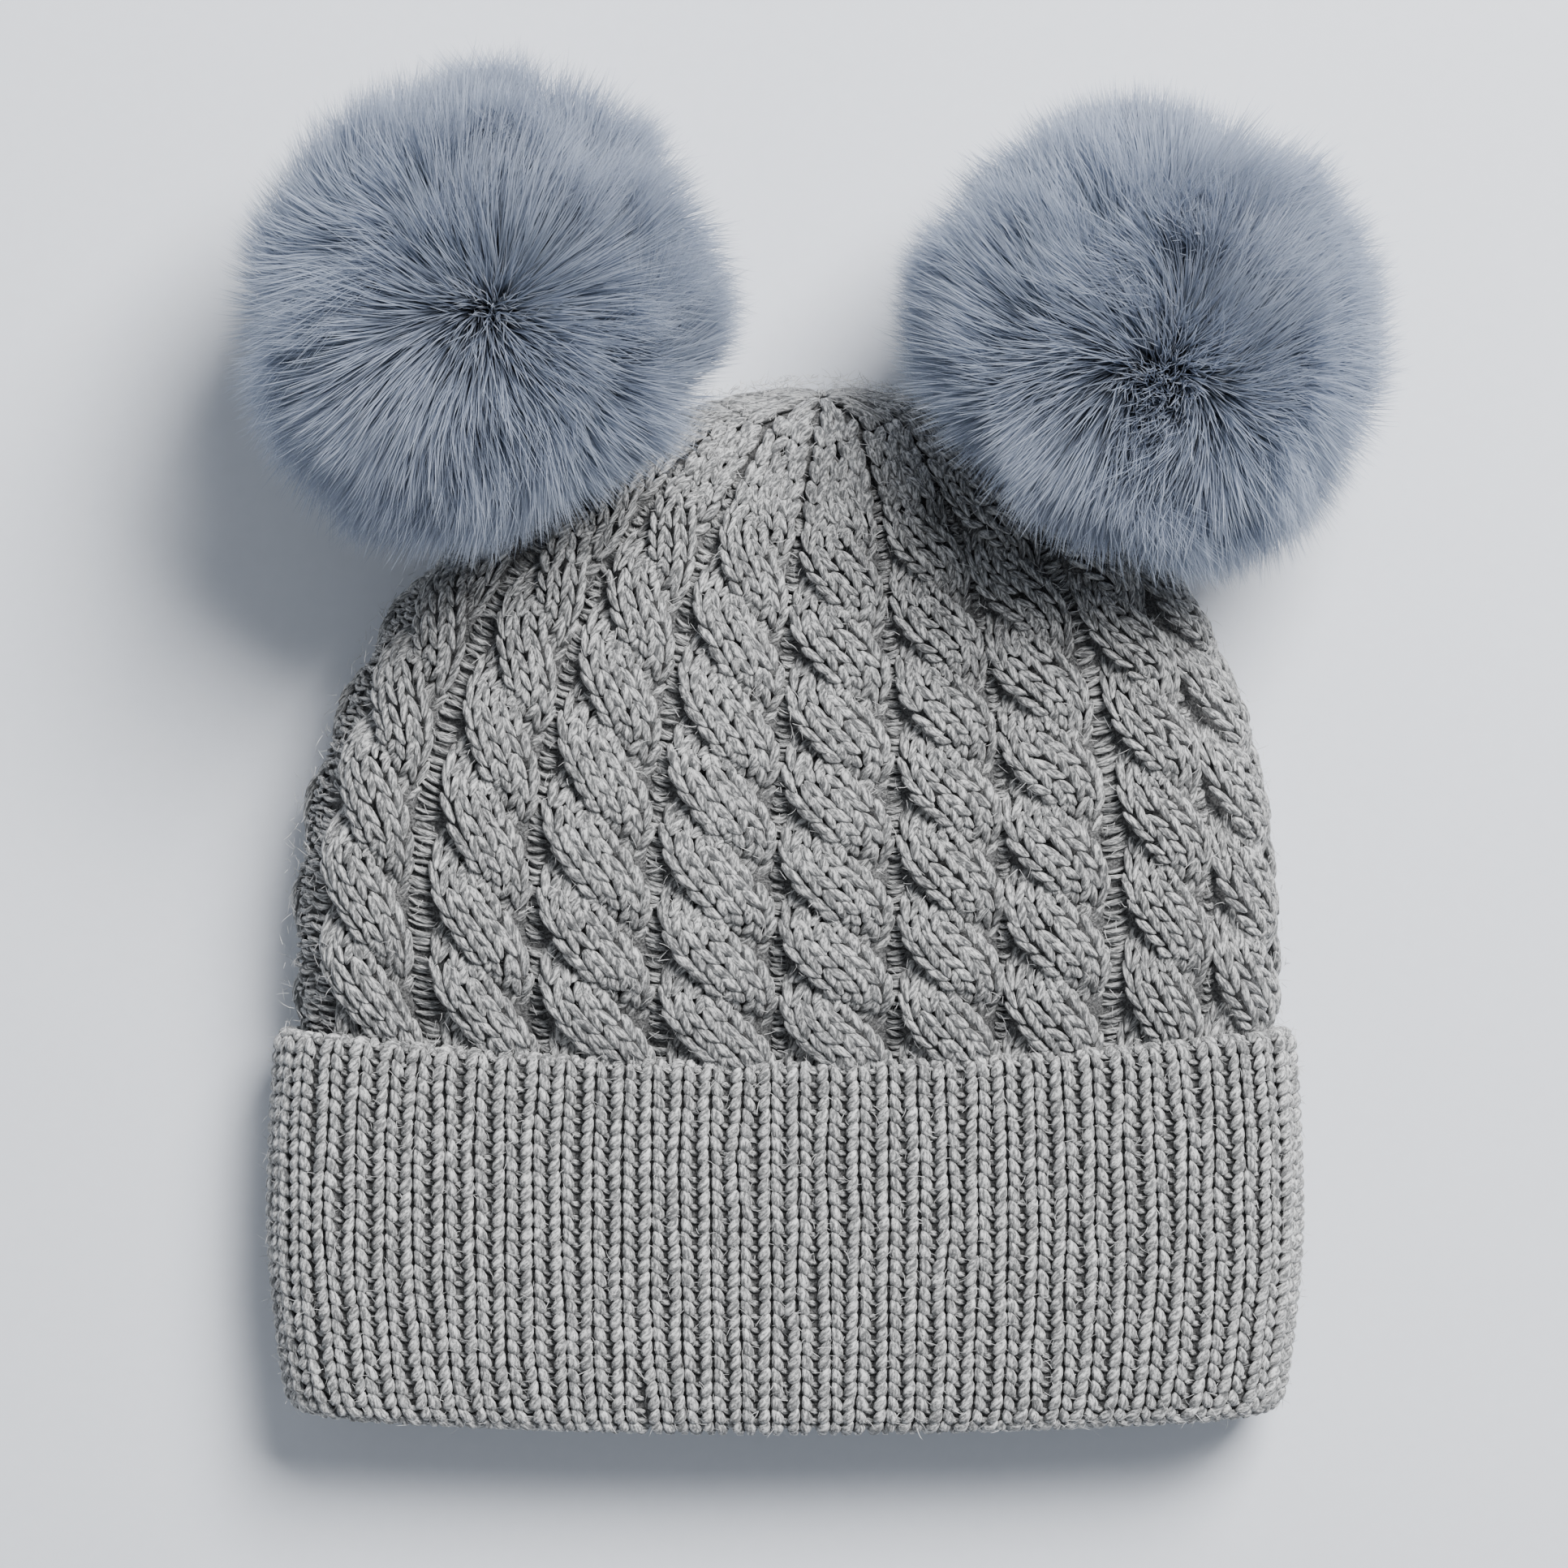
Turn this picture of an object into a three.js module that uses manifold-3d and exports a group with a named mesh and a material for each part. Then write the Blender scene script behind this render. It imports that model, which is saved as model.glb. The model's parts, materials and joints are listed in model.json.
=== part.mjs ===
// Knitted beanie with two faux-fur pom poms on press studs, lying on its back.
// Millimetres. +Y runs from the cuff to the crown, +X to the wearer's side on the right of the front view,
// +Z up from the surface that the back of the hat lies on. The origin is below the middle of the whole hat.
import * as THREE from "three";
import { ParametricGeometry } from "three/addons/geometries/ParametricGeometry.js";
import { mergeVertices } from "three/addons/utils/BufferGeometryUtils.js";
import Module from "manifold-3d";

const wasm = await Module();
wasm.setup();

// ---- driving dimensions -------------------------------------------------------------------------

const GAP = 0.4; // between pieces that touch
const RIB_THICKNESS = 4.2; // one layer of rib knitting
const CABLE_THICKNESS = 5.0; // one layer of cable knitting, between its valleys and its crests

// The cuff: two layers of rib all round, pressed flat.
const CUFF_HALF_THICKNESS = 17;
const CUFF_CENTRE_X = -5.8;
const CUFF_TOP_Y = -60.0; // at the two sides; the middle hangs lower
const CUFF_BOTTOM_Y = -143.4; // at the two sides
const TOP_SAG = 7.0; // how much lower the middle of the top edge hangs
const BOTTOM_SAG = 4.1;
const CUFF_TOP_HALF = 111.2; // half widths
const CUFF_MIDDLE_HALF = 113.2;
const CUFF_BOTTOM_HALF = 109.2;
const CUFF_MIDDLE_Y = -105;
const BAND_TOP_HALF = 107.6; // outside of the inner layer
const BAND_BOTTOM_HALF = 103.6;
const BAND_TOP_Y = -62.6;
const FOLD_HEIGHT = 3.2; // rounded fold below the inner layer
const WALL_HEIGHTS = [-130, -117, CUFF_MIDDLE_Y, -92, -78]; // where the walls of the cuff and the band bend

// The crown from the cuff up: y, half width, half thickness, centre x, centre z, sag.
const CROWN_STATIONS = [
  [-62.2, 107.0, 12.4, -5.8, 17.0, 7.0],
  [-48.0, 107.4, 15.6, -6.2, 17.4, 5.6],
  [-30.0, 106.4, 17.4, -6.4, 18.9, 3.6],
  [-12.0, 104.3, 18.4, -6.2, 19.9, 2.0],
  [11.0, 97.6, 18.8, -5.0, 20.3, 0.6],
  [35.0, 85.2, 18.2, -3.8, 19.8, 0],
  [50.0, 71.0, 17.2, -2.0, 19.2, 0],
  [60.0, 57.5, 15.8, -0.6, 18.6, 0],
  [68.5, 43.5, 13.8, 0.4, 18.0, 0],
  [75.0, 31.0, 11.4, 1.0, 17.6, 0],
  [79.4, 19.5, 8.4, 1.4, 17.4, 0],
];
const CROWN_TOP_Y = 81.4;
const CROWN_TOP_X = 1.6;
const CROWN_TOP_Z = 18.2;

// The pom poms: centre and radius of each ball of fur, and the ball of stuffing inside it.
const POMPOMS = {
  left: { centre: new THREE.Vector3(-70.05, 93.9, 53.6), radius: 53.6, side: -1 },
  right: { centre: new THREE.Vector3(70.95, 88.2, 52.8), radius: 52.8, side: 1 },
};
const STUFFING_START = 26.4; // along the snap, where the hollow of a fur cover starts
const STUFFING_GAP = 1.4;
const PIVOT = 18.6; // where a pom pom tips, measured along the snap from the middle of the crown's edge
const RELIEF_ANGLE = THREE.MathUtils.degToRad(13.5); // slope of the fur's base, clear of the crown when tipped

// The snap, as distances along its axis from the middle of the crown's rounded edge, and radii.
const SEAT = 14.6;
const STUD_FLANGE = [14.9, 16.1, 6.2];
const STUD_NIPPLE = [19.3, 3.2];
const POST_RADIUS = 2.0;
const POST_HOLE = 2.35;
const CAP_HEAD = [4.2, 5.8, 5.0];
const SOCKET = [16.6, 20.6, 6.2];
const SOCKET_CAVITY = [19.8, 3.6];
const DISC = [20.9, 22.3, 13.5];
const SOCKET_CAP_HEAD = [22.6, 23.8, 5.5];
const THREAD = [23.7, 12.0, 0.8];
const COVER_MOUTH_RADIUS = 14.6;
const PATCH_THICKNESS = 1.6;
const PATCH_RADIUS = 11;

const ARC_STEPS = 8; // facets in each rounded edge of a flattened section
const FLAT_STEPS = 6;
const ROUND_STEPS = 24; // facets round a turned piece
const SNAP_STEPS = 16; // and round the small pieces of a snap

// ---- materials ----------------------------------------------------------------------------------

const cloth = (color, roughness) => new THREE.MeshStandardMaterial({ color, roughness, metalness: 0 });
const cableYarn = cloth(0x9b9c9d, 0.95);
const ribYarn = cloth(0xa0a1a2, 0.95);
const seamYarn = cloth(0x8b8c8e, 0.95);
const felt = cloth(0x77797c, 1.0);
const fur = cloth(0x8b95a3, 0.85);
const backing = cloth(0x6c7480, 0.9);
const thread = cloth(0x5d6570, 0.8);
const fibre = cloth(0xe6e8ea, 1.0);
const nickel = new THREE.MeshStandardMaterial({ color: 0xb9bcc0, roughness: 0.3, metalness: 1 });

// ---- solids -------------------------------------------------------------------------------------

function toSolid(geometry) {
  const bare = geometry.clone();
  bare.deleteAttribute("normal");
  bare.deleteAttribute("uv");
  const merged = mergeVertices(bare, 1e-3);
  return new wasm.Manifold(
    new wasm.Mesh({
      numProp: 3,
      vertProperties: merged.attributes.position.array,
      triVerts: new Uint32Array(merged.index.array),
    }),
  );
}

function toGeometry(solid) {
  const mesh = solid.getMesh();
  const geometry = new THREE.BufferGeometry();
  geometry.setAttribute("position", new THREE.BufferAttribute(mesh.vertProperties, 3));
  geometry.setIndex(new THREE.BufferAttribute(mesh.triVerts, 1));
  const flat = geometry.toNonIndexed();
  flat.computeVertexNormals();
  return flat;
}

// A point on a flattened section: two rounded edges joined by straight runs, u from 0 to 1 round it.
// The stretch widens the rounded edges where the outline leans, so that they stay round across the lean.
function sectionPoint(u, halfWidth, halfThickness, stretch) {
  const round = Math.min(halfThickness * stretch, halfWidth);
  const straight = halfWidth - round;
  const half = ARC_STEPS + FLAT_STEPS;
  const step = u * 2 * half;
  const side = step < half ? 1 : -1;
  const along = step < half ? step : step - half;
  if (along <= ARC_STEPS) {
    const angle = (-0.5 + along / ARC_STEPS) * Math.PI;
    const x = straight + round * Math.cos(angle);
    return [side * x, side * halfThickness * Math.sin(angle)];
  }
  const share = (along - ARC_STEPS) / FLAT_STEPS;
  return [side * straight * (1 - 2 * share), side * halfThickness];
}

// A closed skin through flattened rings: [y, half width, half thickness, centre x, centre z, sag, stretch].
function skin(rings) {
  const around = 2 * (ARC_STEPS + FLAT_STEPS);
  const along = rings.length - 1;
  const place = (u, v, target) => {
    const [y, halfWidth, halfThickness, x0, z0, sag, stretch] = rings[Math.round(v * along)];
    const [x, z] = sectionPoint(u <= 0 ? 0 : 1 - u, halfWidth, halfThickness, stretch);
    const hang = halfWidth > 0 ? sag * (1 - (x / halfWidth) ** 2) : 0;
    target.set(x0 + x, y - hang, z0 + z);
  };
  return toSolid(new ParametricGeometry(place, around, along));
}

// A turned piece about +Y from its outline of [radius, height] points.
function turned(points, steps = ROUND_STEPS) {
  const outline = points.map(([radius, height]) => new THREE.Vector2(radius, height));
  return toSolid(new THREE.LatheGeometry(outline, steps));
}

function cylinder(low, high, radius, steps = ROUND_STEPS) {
  return turned([[0, low], [radius, low], [radius, high], [0, high]], steps);
}

function placed(solid, matrix) {
  return solid.transform(matrix.elements);
}

// ---- the crown ----------------------------------------------------------------------------------

const stationCurve = (column) =>
  new THREE.CatmullRomCurve3(CROWN_STATIONS.map((row) => new THREE.Vector3(row[column], row[0], 0)));
const stationCurves = [0, 1, 2, 3, 4, 5].map(stationCurve);

// One ring of the crown at share t of the way up its stations, offset inwards square to its outline.
function crownRing(t, inset) {
  const values = stationCurves.map((curve) => curve.getPoint(t).x);
  const below = stationCurves.map((curve) => curve.getPoint(Math.max(0, t - 0.01)).x);
  const above = stationCurves.map((curve) => curve.getPoint(Math.min(1, t + 0.01)).x);
  const stretch = Math.hypot(1, (above[1] - below[1]) / (above[0] - below[0]));
  values[1] -= inset * stretch;
  values[2] -= inset;
  return [...values, stretch];
}

// The crown as a solid whose skin lies `inset` inside the outer surface.
function crownSolid(inset, bottom = 0) {
  const count = 16;
  const rings = [];
  for (let i = 0; i <= count; i += 1) {
    const ring = crownRing(i / count, inset);
    if (ring[0] < CROWN_TOP_Y - inset - 1 && ring[1] > 2) rings.push(ring);
  }
  const first = [...rings[0]];
  first[0] -= bottom;
  const top = [CROWN_TOP_Y - inset, 0, 0, CROWN_TOP_X, CROWN_TOP_Z, 0, 1];
  const floor = [first[0] - first[5], 0, 0, first[3], first[4], 0, 1];
  const all = bottom > 0 ? [floor, first, ...rings, top] : [floor, ...rings, top];
  return skin(all);
}

// ---- where each pom pom sits on the crown's edge ---------------------------------------------------

function edgePoint(t, side) {
  const [y, halfWidth, halfThickness, x0, z0, sag, stretch] = crownRing(t, 0);
  const reach = side * (halfWidth - halfThickness * stretch);
  const hang = sag * (1 - (reach / halfWidth) ** 2);
  return new THREE.Vector3(x0 + reach, y - hang, z0);
}

// The frame of a snap: its origin in the middle of the crown's rounded edge, its +Y towards the pom pom.
function snapFrame({ centre, side }) {
  let nearest = edgePoint(0, side);
  for (let t = 0; t <= 1; t += 0.002) {
    const point = edgePoint(t, side);
    if (point.distanceTo(centre) < nearest.distanceTo(centre)) nearest = point;
  }
  const axis = centre.clone().sub(nearest);
  const reach = axis.length();
  axis.normalize();
  const tangent = new THREE.Vector3(0, 0, 1).cross(axis).normalize();
  const third = tangent.clone().cross(axis);
  const matrix = new THREE.Matrix4().makeBasis(tangent, axis, third).setPosition(nearest);
  return { matrix, reach };
}

const snaps = {};
for (const [name, pompom] of Object.entries(POMPOMS)) snaps[name] = snapFrame(pompom);

// ---- pieces of the hat ------------------------------------------------------------------------------

function crownShell() {
  let shell = crownSolid(0).subtract(crownSolid(CABLE_THICKNESS, 5));
  for (const { matrix } of Object.values(snaps)) {
    const seat = cylinder(SEAT, SEAT + 8, STUD_FLANGE[2] + 0.7);
    const hole = cylinder(0, SEAT + 1, POST_HOLE + 0.4, 12);
    shell = shell.subtract(placed(seat, matrix)).subtract(placed(hole, matrix));
  }
  return shell;
}

const bandHalf = (y) => {
  const share = (y - CUFF_BOTTOM_Y) / (CUFF_MIDDLE_Y - CUFF_BOTTOM_Y);
  return THREE.MathUtils.lerp(BAND_BOTTOM_HALF, BAND_TOP_HALF, Math.min(1, Math.max(0, share)));
};
const bandHalfThickness = CUFF_HALF_THICKNESS - RIB_THICKNESS - GAP;
const sagAt = (y) => {
  const share = (y - CUFF_BOTTOM_Y) / (CUFF_TOP_Y - CUFF_BOTTOM_Y);
  return THREE.MathUtils.lerp(BOTTOM_SAG, TOP_SAG, share);
};
const ribRing = (y, halfWidth, halfThickness) => [
  y, halfWidth, halfThickness, CUFF_CENTRE_X, CUFF_HALF_THICKNESS, sagAt(y), 1,
];

function headBand() {
  const bottom = CUFF_BOTTOM_Y + FOLD_HEIGHT + GAP;
  const heights = [bottom, ...WALL_HEIGHTS, BAND_TOP_Y - GAP];
  const outside = heights.map((y) => ribRing(y, bandHalf(y), bandHalfThickness));
  const inside = heights.map((y) =>
    ribRing(y, bandHalf(y) - RIB_THICKNESS, bandHalfThickness - RIB_THICKNESS),
  );
  return skin([...outside, ...inside.reverse(), outside[0]]);
}

function turnedUpCuff() {
  const heights = [CUFF_BOTTOM_Y + 4.4, ...WALL_HEIGHTS];
  const outer = (y) => {
    const low = y < CUFF_MIDDLE_Y;
    const end = low ? CUFF_BOTTOM_HALF : CUFF_TOP_HALF;
    const reach = low ? CUFF_MIDDLE_Y - CUFF_BOTTOM_Y : CUFF_TOP_Y - CUFF_MIDDLE_Y;
    const share = Math.abs(y - CUFF_MIDDLE_Y) / reach;
    return CUFF_MIDDLE_HALF - (CUFF_MIDDLE_HALF - end) * share ** 2;
  };
  const full = CUFF_HALF_THICKNESS;
  const mouth = bandHalfThickness - RIB_THICKNESS;
  const bottomBand = bandHalf(CUFF_BOTTOM_Y);
  const outside = heights.map((y) => ribRing(y, outer(y), full));
  const rolledTop = [
    ribRing(CUFF_TOP_Y - 1.2, CUFF_TOP_HALF, full),
    ribRing(CUFF_TOP_Y, CUFF_TOP_HALF - 1.2, full - 1.4),
    ribRing(CUFF_TOP_Y, bandHalf(CUFF_TOP_Y) + GAP + 0.8, full - RIB_THICKNESS + 0.8),
  ];
  const inside = [CUFF_TOP_Y - 1, ...WALL_HEIGHTS.toReversed(), CUFF_BOTTOM_Y + FOLD_HEIGHT];
  const innerWall = inside.map((y) => ribRing(y, bandHalf(y) + GAP, full - RIB_THICKNESS));
  const fold = [
    ribRing(CUFF_BOTTOM_Y + FOLD_HEIGHT, bottomBand - RIB_THICKNESS, mouth),
    ribRing(CUFF_BOTTOM_Y + 1.0, bottomBand - RIB_THICKNESS, mouth),
    ribRing(CUFF_BOTTOM_Y, bottomBand - RIB_THICKNESS + 2.0, mouth + 2.0),
    ribRing(CUFF_BOTTOM_Y, bottomBand + 0.6, full - 3.4),
    ribRing(CUFF_BOTTOM_Y + 1.4, CUFF_BOTTOM_HALF - 1.4, full - 0.9),
  ];
  return skin([...outside, ...rolledTop, ...innerWall, ...fold, outside[0]]);
}

function sideSeamRidge() {
  const radius = 1.5;
  const clearance = 1.5;
  const route = [];
  for (const y of [-138, -120, -100, -80, -66]) {
    const inner = bandHalf(y) - RIB_THICKNESS;
    route.push(new THREE.Vector3(CUFF_CENTRE_X - inner + radius + clearance, y, CUFF_HALF_THICKNESS));
  }
  for (let t = 0.08; t < 0.5; t += 0.06) {
    const [y, halfWidth, , x0, z0] = crownRing(t, CABLE_THICKNESS);
    route.push(new THREE.Vector3(x0 - halfWidth + radius + clearance, y, z0));
  }
  const section = new THREE.Shape();
  section.absarc(0, 0, radius, 0, 2 * Math.PI, false);
  return toSolid(
    new THREE.ExtrudeGeometry(section, {
      steps: 24,
      curveSegments: 4,
      extrudePath: new THREE.CatmullRomCurve3(route),
    }),
  );
}

function crownDrawYarn() {
  const ring = toSolid(new THREE.TorusGeometry(4.6, 1.1, 6, 18).rotateX(Math.PI / 2));
  const knot = toSolid(new THREE.SphereGeometry(2.3, 10, 8).translate(0, -0.6, 4.6));
  const tail = placed(
    cylinder(0, 9, 0.8, 8),
    new THREE.Matrix4().makeRotationX(Math.PI).setPosition(0, -1.5, 4.8),
  );
  const centre = new THREE.Matrix4().makeTranslation(CROWN_TOP_X - 0.4, 68.5, CROWN_TOP_Z - 0.4);
  return placed(ring.add(knot).add(tail), centre);
}

function stayPatch(matrix) {
  const near = CABLE_THICKNESS + GAP;
  const layer = crownSolid(near).subtract(crownSolid(near + PATCH_THICKNESS));
  const disc = placed(cylinder(1, SEAT, PATCH_RADIUS), matrix);
  const hole = placed(cylinder(0, SEAT, POST_HOLE, 12), matrix);
  return layer.intersect(disc).subtract(hole);
}

// ---- pieces of a snap, turned about +Y --------------------------------------------------------------

function snapCap() {
  const [low, high, radius] = CAP_HEAD;
  const end = STUD_NIPPLE[0] - 1.1;
  return turned([
    [0, low], [radius - 0.8, low], [radius, low + 0.6], [radius, high],
    [POST_RADIUS, high], [POST_RADIUS, end], [0, end],
  ], SNAP_STEPS);
}

function snapStud() {
  const [low, high, radius] = STUD_FLANGE;
  const [top, nipple] = STUD_NIPPLE;
  return turned([
    [POST_HOLE, low], [radius, low], [radius, high], [nipple - 0.4, high], [nipple - 0.4, high + 0.9],
    [nipple, high + 1.6], [nipple, top - 0.8], [nipple - 0.8, top], [0, top],
    [0, top - 0.8], [POST_HOLE, top - 0.8], [POST_HOLE, low],
  ], SNAP_STEPS);
}

function snapSocket() {
  const [low, high, radius] = SOCKET;
  const [roof, cavity] = SOCKET_CAVITY;
  return turned([
    [cavity, low], [radius - 0.5, low], [radius, low + 0.5], [radius, high],
    [POST_HOLE, high], [POST_HOLE, roof], [cavity, roof], [cavity, low],
  ], SNAP_STEPS);
}

function baseDisc() {
  const [low, high, radius] = DISC;
  return turned([[POST_HOLE, low], [radius, low], [radius, high], [POST_HOLE, high], [POST_HOLE, low]]);
}

function socketCap() {
  const [low, high, radius] = SOCKET_CAP_HEAD;
  const end = SOCKET_CAVITY[0] + 0.2;
  return turned([
    [0, end], [POST_RADIUS, end], [POST_RADIUS, low], [radius, low],
    [radius, high - 0.5], [radius - 0.8, high], [0, high],
  ], SNAP_STEPS);
}

function drawThread() {
  const [height, radius, thickness] = THREAD;
  const torus = new THREE.TorusGeometry(radius, thickness, 6, ROUND_STEPS);
  return toSolid(torus.rotateX(Math.PI / 2).translate(0, height, 0));
}

// ---- pieces of a pom pom ------------------------------------------------------------------------------

// The fur cover: a thick ball of pile, open at its base, where its gathered edge meets the base disc.
function furCover(reach, radius) {
  const slope = Math.tan(RELIEF_ANGLE);
  const apex = PIVOT - reach;
  const a = 1 + slope * slope;
  const b = 2 * apex * slope;
  const c = apex * apex - radius * radius;
  const rim = (-b + Math.sqrt(b * b - 4 * a * c)) / (2 * a);
  const start = Math.atan2(apex + rim * slope, rim);
  const points = [[COVER_MOUTH_RADIUS, PIVOT + COVER_MOUTH_RADIUS * slope]];
  const outerSteps = 14;
  for (let i = 0; i <= outerSteps; i += 1) {
    const angle = THREE.MathUtils.lerp(start, Math.PI / 2, i / outerSteps);
    const x = i === outerSteps ? 0 : radius * Math.cos(angle);
    points.push([x, reach + radius * Math.sin(angle)]);
  }
  const hollow = reach - STUFFING_START;
  const innerSteps = 8;
  const mouth = -Math.acos((COVER_MOUTH_RADIUS - 2.2) / hollow);
  for (let i = 0; i <= innerSteps; i += 1) {
    const angle = THREE.MathUtils.lerp(Math.PI / 2, mouth, i / innerSteps);
    const x = i === 0 ? 0 : hollow * Math.cos(angle);
    points.push([x, reach + hollow * Math.sin(angle)]);
  }
  points.push([COVER_MOUTH_RADIUS - 0.6, PIVOT + COVER_MOUTH_RADIUS * slope + 0.5]);
  points.push([...points[0]]);
  return turned(points);
}

function stuffing(reach) {
  const ball = new THREE.SphereGeometry(reach - STUFFING_START - STUFFING_GAP, 18, 12);
  return toSolid(ball.translate(0, reach, 0));
}

// ---- assembly -------------------------------------------------------------------------------------------

const beanie = new THREE.Group();

function add(name, solid, material, matrix) {
  const mesh = new THREE.Mesh(toGeometry(solid), material);
  mesh.name = name;
  if (matrix) mesh.applyMatrix4(matrix);
  beanie.add(mesh);
}

add("crown_shell", crownShell(), cableYarn);
add("head_band", headBand(), ribYarn);
add("turned_up_cuff", turnedUpCuff(), ribYarn);
add("side_seam_ridge", sideSeamRidge(), seamYarn);
add("crown_draw_yarn", crownDrawYarn(), seamYarn);

for (const [name, { radius }] of Object.entries(POMPOMS)) {
  const { matrix, reach } = snaps[name];
  add(`${name}_stay_patch`, stayPatch(matrix), felt);
  add(`${name}_snap_cap`, snapCap(), nickel, matrix);
  add(`${name}_snap_stud`, snapStud(), nickel, matrix);
  add(`${name}_snap_socket`, snapSocket(), nickel, matrix);
  add(`${name}_socket_cap`, socketCap(), nickel, matrix);
  add(`${name}_base_disc`, baseDisc(), backing, matrix);
  add(`${name}_draw_thread`, drawThread(), thread, matrix);
  add(`${name}_fur_cover`, furCover(reach, radius), fur, matrix);
  add(`${name}_stuffing`, stuffing(reach), fibre, matrix);
}

export default beanie;
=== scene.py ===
"""Looks for a knitted cable beanie with two faux-fur pom poms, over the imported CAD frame.

Shapes are worked out in millimetres and turned into metres when a mesh is made. The fabrics are built
stitch by stitch: each leg of a knitted stitch is a plump length of yarn, laid on the surface that its
layer of knitting follows.
"""

import json
import math

import bmesh
import bpy
import numpy as np
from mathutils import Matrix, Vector, kdtree

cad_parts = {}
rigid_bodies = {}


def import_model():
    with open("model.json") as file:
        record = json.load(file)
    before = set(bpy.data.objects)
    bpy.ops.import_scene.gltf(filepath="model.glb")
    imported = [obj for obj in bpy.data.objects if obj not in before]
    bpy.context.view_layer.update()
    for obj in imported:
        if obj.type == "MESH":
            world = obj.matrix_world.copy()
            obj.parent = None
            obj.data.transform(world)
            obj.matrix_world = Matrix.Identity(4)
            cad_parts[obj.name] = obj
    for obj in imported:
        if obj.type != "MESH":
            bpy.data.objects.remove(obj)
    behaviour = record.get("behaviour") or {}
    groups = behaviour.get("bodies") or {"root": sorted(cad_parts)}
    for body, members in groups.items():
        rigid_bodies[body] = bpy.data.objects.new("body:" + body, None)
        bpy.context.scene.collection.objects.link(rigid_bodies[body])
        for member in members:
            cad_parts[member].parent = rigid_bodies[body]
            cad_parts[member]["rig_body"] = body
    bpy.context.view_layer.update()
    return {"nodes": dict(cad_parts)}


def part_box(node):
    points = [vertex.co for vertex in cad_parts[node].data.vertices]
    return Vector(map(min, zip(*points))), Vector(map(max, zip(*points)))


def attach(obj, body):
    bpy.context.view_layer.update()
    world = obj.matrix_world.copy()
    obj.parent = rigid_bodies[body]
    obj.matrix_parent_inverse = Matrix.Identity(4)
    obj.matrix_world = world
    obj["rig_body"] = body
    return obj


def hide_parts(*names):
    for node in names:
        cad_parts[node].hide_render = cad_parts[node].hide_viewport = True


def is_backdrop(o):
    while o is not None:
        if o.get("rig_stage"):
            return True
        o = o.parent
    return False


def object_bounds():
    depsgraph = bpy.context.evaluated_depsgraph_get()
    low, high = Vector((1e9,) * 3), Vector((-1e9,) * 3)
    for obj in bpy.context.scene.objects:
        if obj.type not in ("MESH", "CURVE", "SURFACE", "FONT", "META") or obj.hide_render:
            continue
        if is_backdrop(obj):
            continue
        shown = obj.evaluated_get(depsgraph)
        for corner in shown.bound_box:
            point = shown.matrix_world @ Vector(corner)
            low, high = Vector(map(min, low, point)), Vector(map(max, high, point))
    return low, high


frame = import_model()

MM = 0.001
BAKE_MAP = "OFBake"  # the map laid out so that each stitch and hair has a cell
NO_TRIS = np.zeros((0, 3), int)

# ---- driving sizes, in millimetres, as in the CAD -------------------------------------------------

CUFF_CENTRE_X = -5.8
CUFF_CENTRE_Z = 17.0
CUFF_TOP_Y = -60.0
CUFF_BOTTOM_Y = -143.4
TOP_SAG = 7.0
BOTTOM_SAG = 4.1

# The crown: y, half width, half thickness, centre x, centre z, sag, and how far the ring leans
# to the front.
CROWN_STATIONS = np.array([
    [-70.0, 105.6, 9.8, -5.8, 17.0, 7.4, 0.0],
    [-62.2, 106.4, 11.2, -5.8, 17.0, 7.0, 0.0],
    [-48.0, 107.2, 15.0, -6.2, 17.8, 5.6, 0.0],
    [-30.0, 106.4, 17.0, -6.4, 19.2, 3.6, 0.0],
    [-12.0, 104.3, 17.8, -6.2, 20.2, 2.0, 0.0],
    [11.0, 97.6, 18.0, -5.0, 20.6, 0.6, 0.0],
    [35.0, 85.2, 17.6, -3.8, 20.2, 0.0, 0.0],
    [50.0, 71.0, 16.8, -2.0, 19.5, 0.0, 0.0],
    [60.0, 57.5, 15.6, -0.6, 18.8, 0.0, 0.0],
    [68.0, 43.5, 13.8, 0.4, 18.3, 0.0, 0.5],
    [74.0, 31.0, 11.4, 1.0, 18.6, 0.0, 1.4],
    [77.6, 19.0, 7.8, 1.6, 20.0, 0.0, 2.2],
    [79.0, 7.5, 3.6, 2.0, 22.0, 0.0, 1.2],
    [79.3, 0.6, 0.5, 2.1, 23.4, 0.0, 0.2],
])

# The turned-up cuff from inside its top edge, over it, down the outside and round the bottom fold:
# y at the sides, half width, half thickness.
CUFF_PROFILE = np.array([
    [-66.0, 108.0, 13.0],
    [-62.0, 108.1, 13.1],
    [-60.0, 109.3, 14.5],
    [-60.1, 110.8, 16.0],
    [-61.8, 111.4, 16.8],
    [-70.0, 112.0, 17.0],
    [-85.0, 112.8, 17.0],
    [-105.0, 113.1, 17.0],
    [-125.0, 111.4, 17.0],
    [-138.0, 109.6, 16.8],
    [-142.0, 108.4, 15.8],
    [-143.4, 106.4, 13.8],
    [-142.8, 103.8, 11.2],
    [-140.0, 101.2, 9.0],
    [-135.0, 99.8, 8.3],
    [-126.0, 100.6, 8.3],
])

# The inner layer of the band: outside from the bottom up, then down the inside.
BAND_PROFILE = np.array([
    [-139.0, 103.8, 12.0],
    [-130.0, 105.0, 12.2],
    [-117.0, 106.4, 12.2],
    [-105.0, 107.4, 12.2],
    [-90.0, 107.4, 12.2],
    [-75.0, 107.4, 12.2],
    [-64.5, 107.2, 12.0],
    [-62.8, 105.6, 10.4],
    [-64.0, 103.8, 8.6],
    [-75.0, 103.4, 8.3],
    [-90.0, 103.4, 8.3],
    [-105.0, 103.4, 8.3],
    [-120.0, 102.2, 8.3],
    [-139.0, 99.8, 8.3],
])

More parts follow.
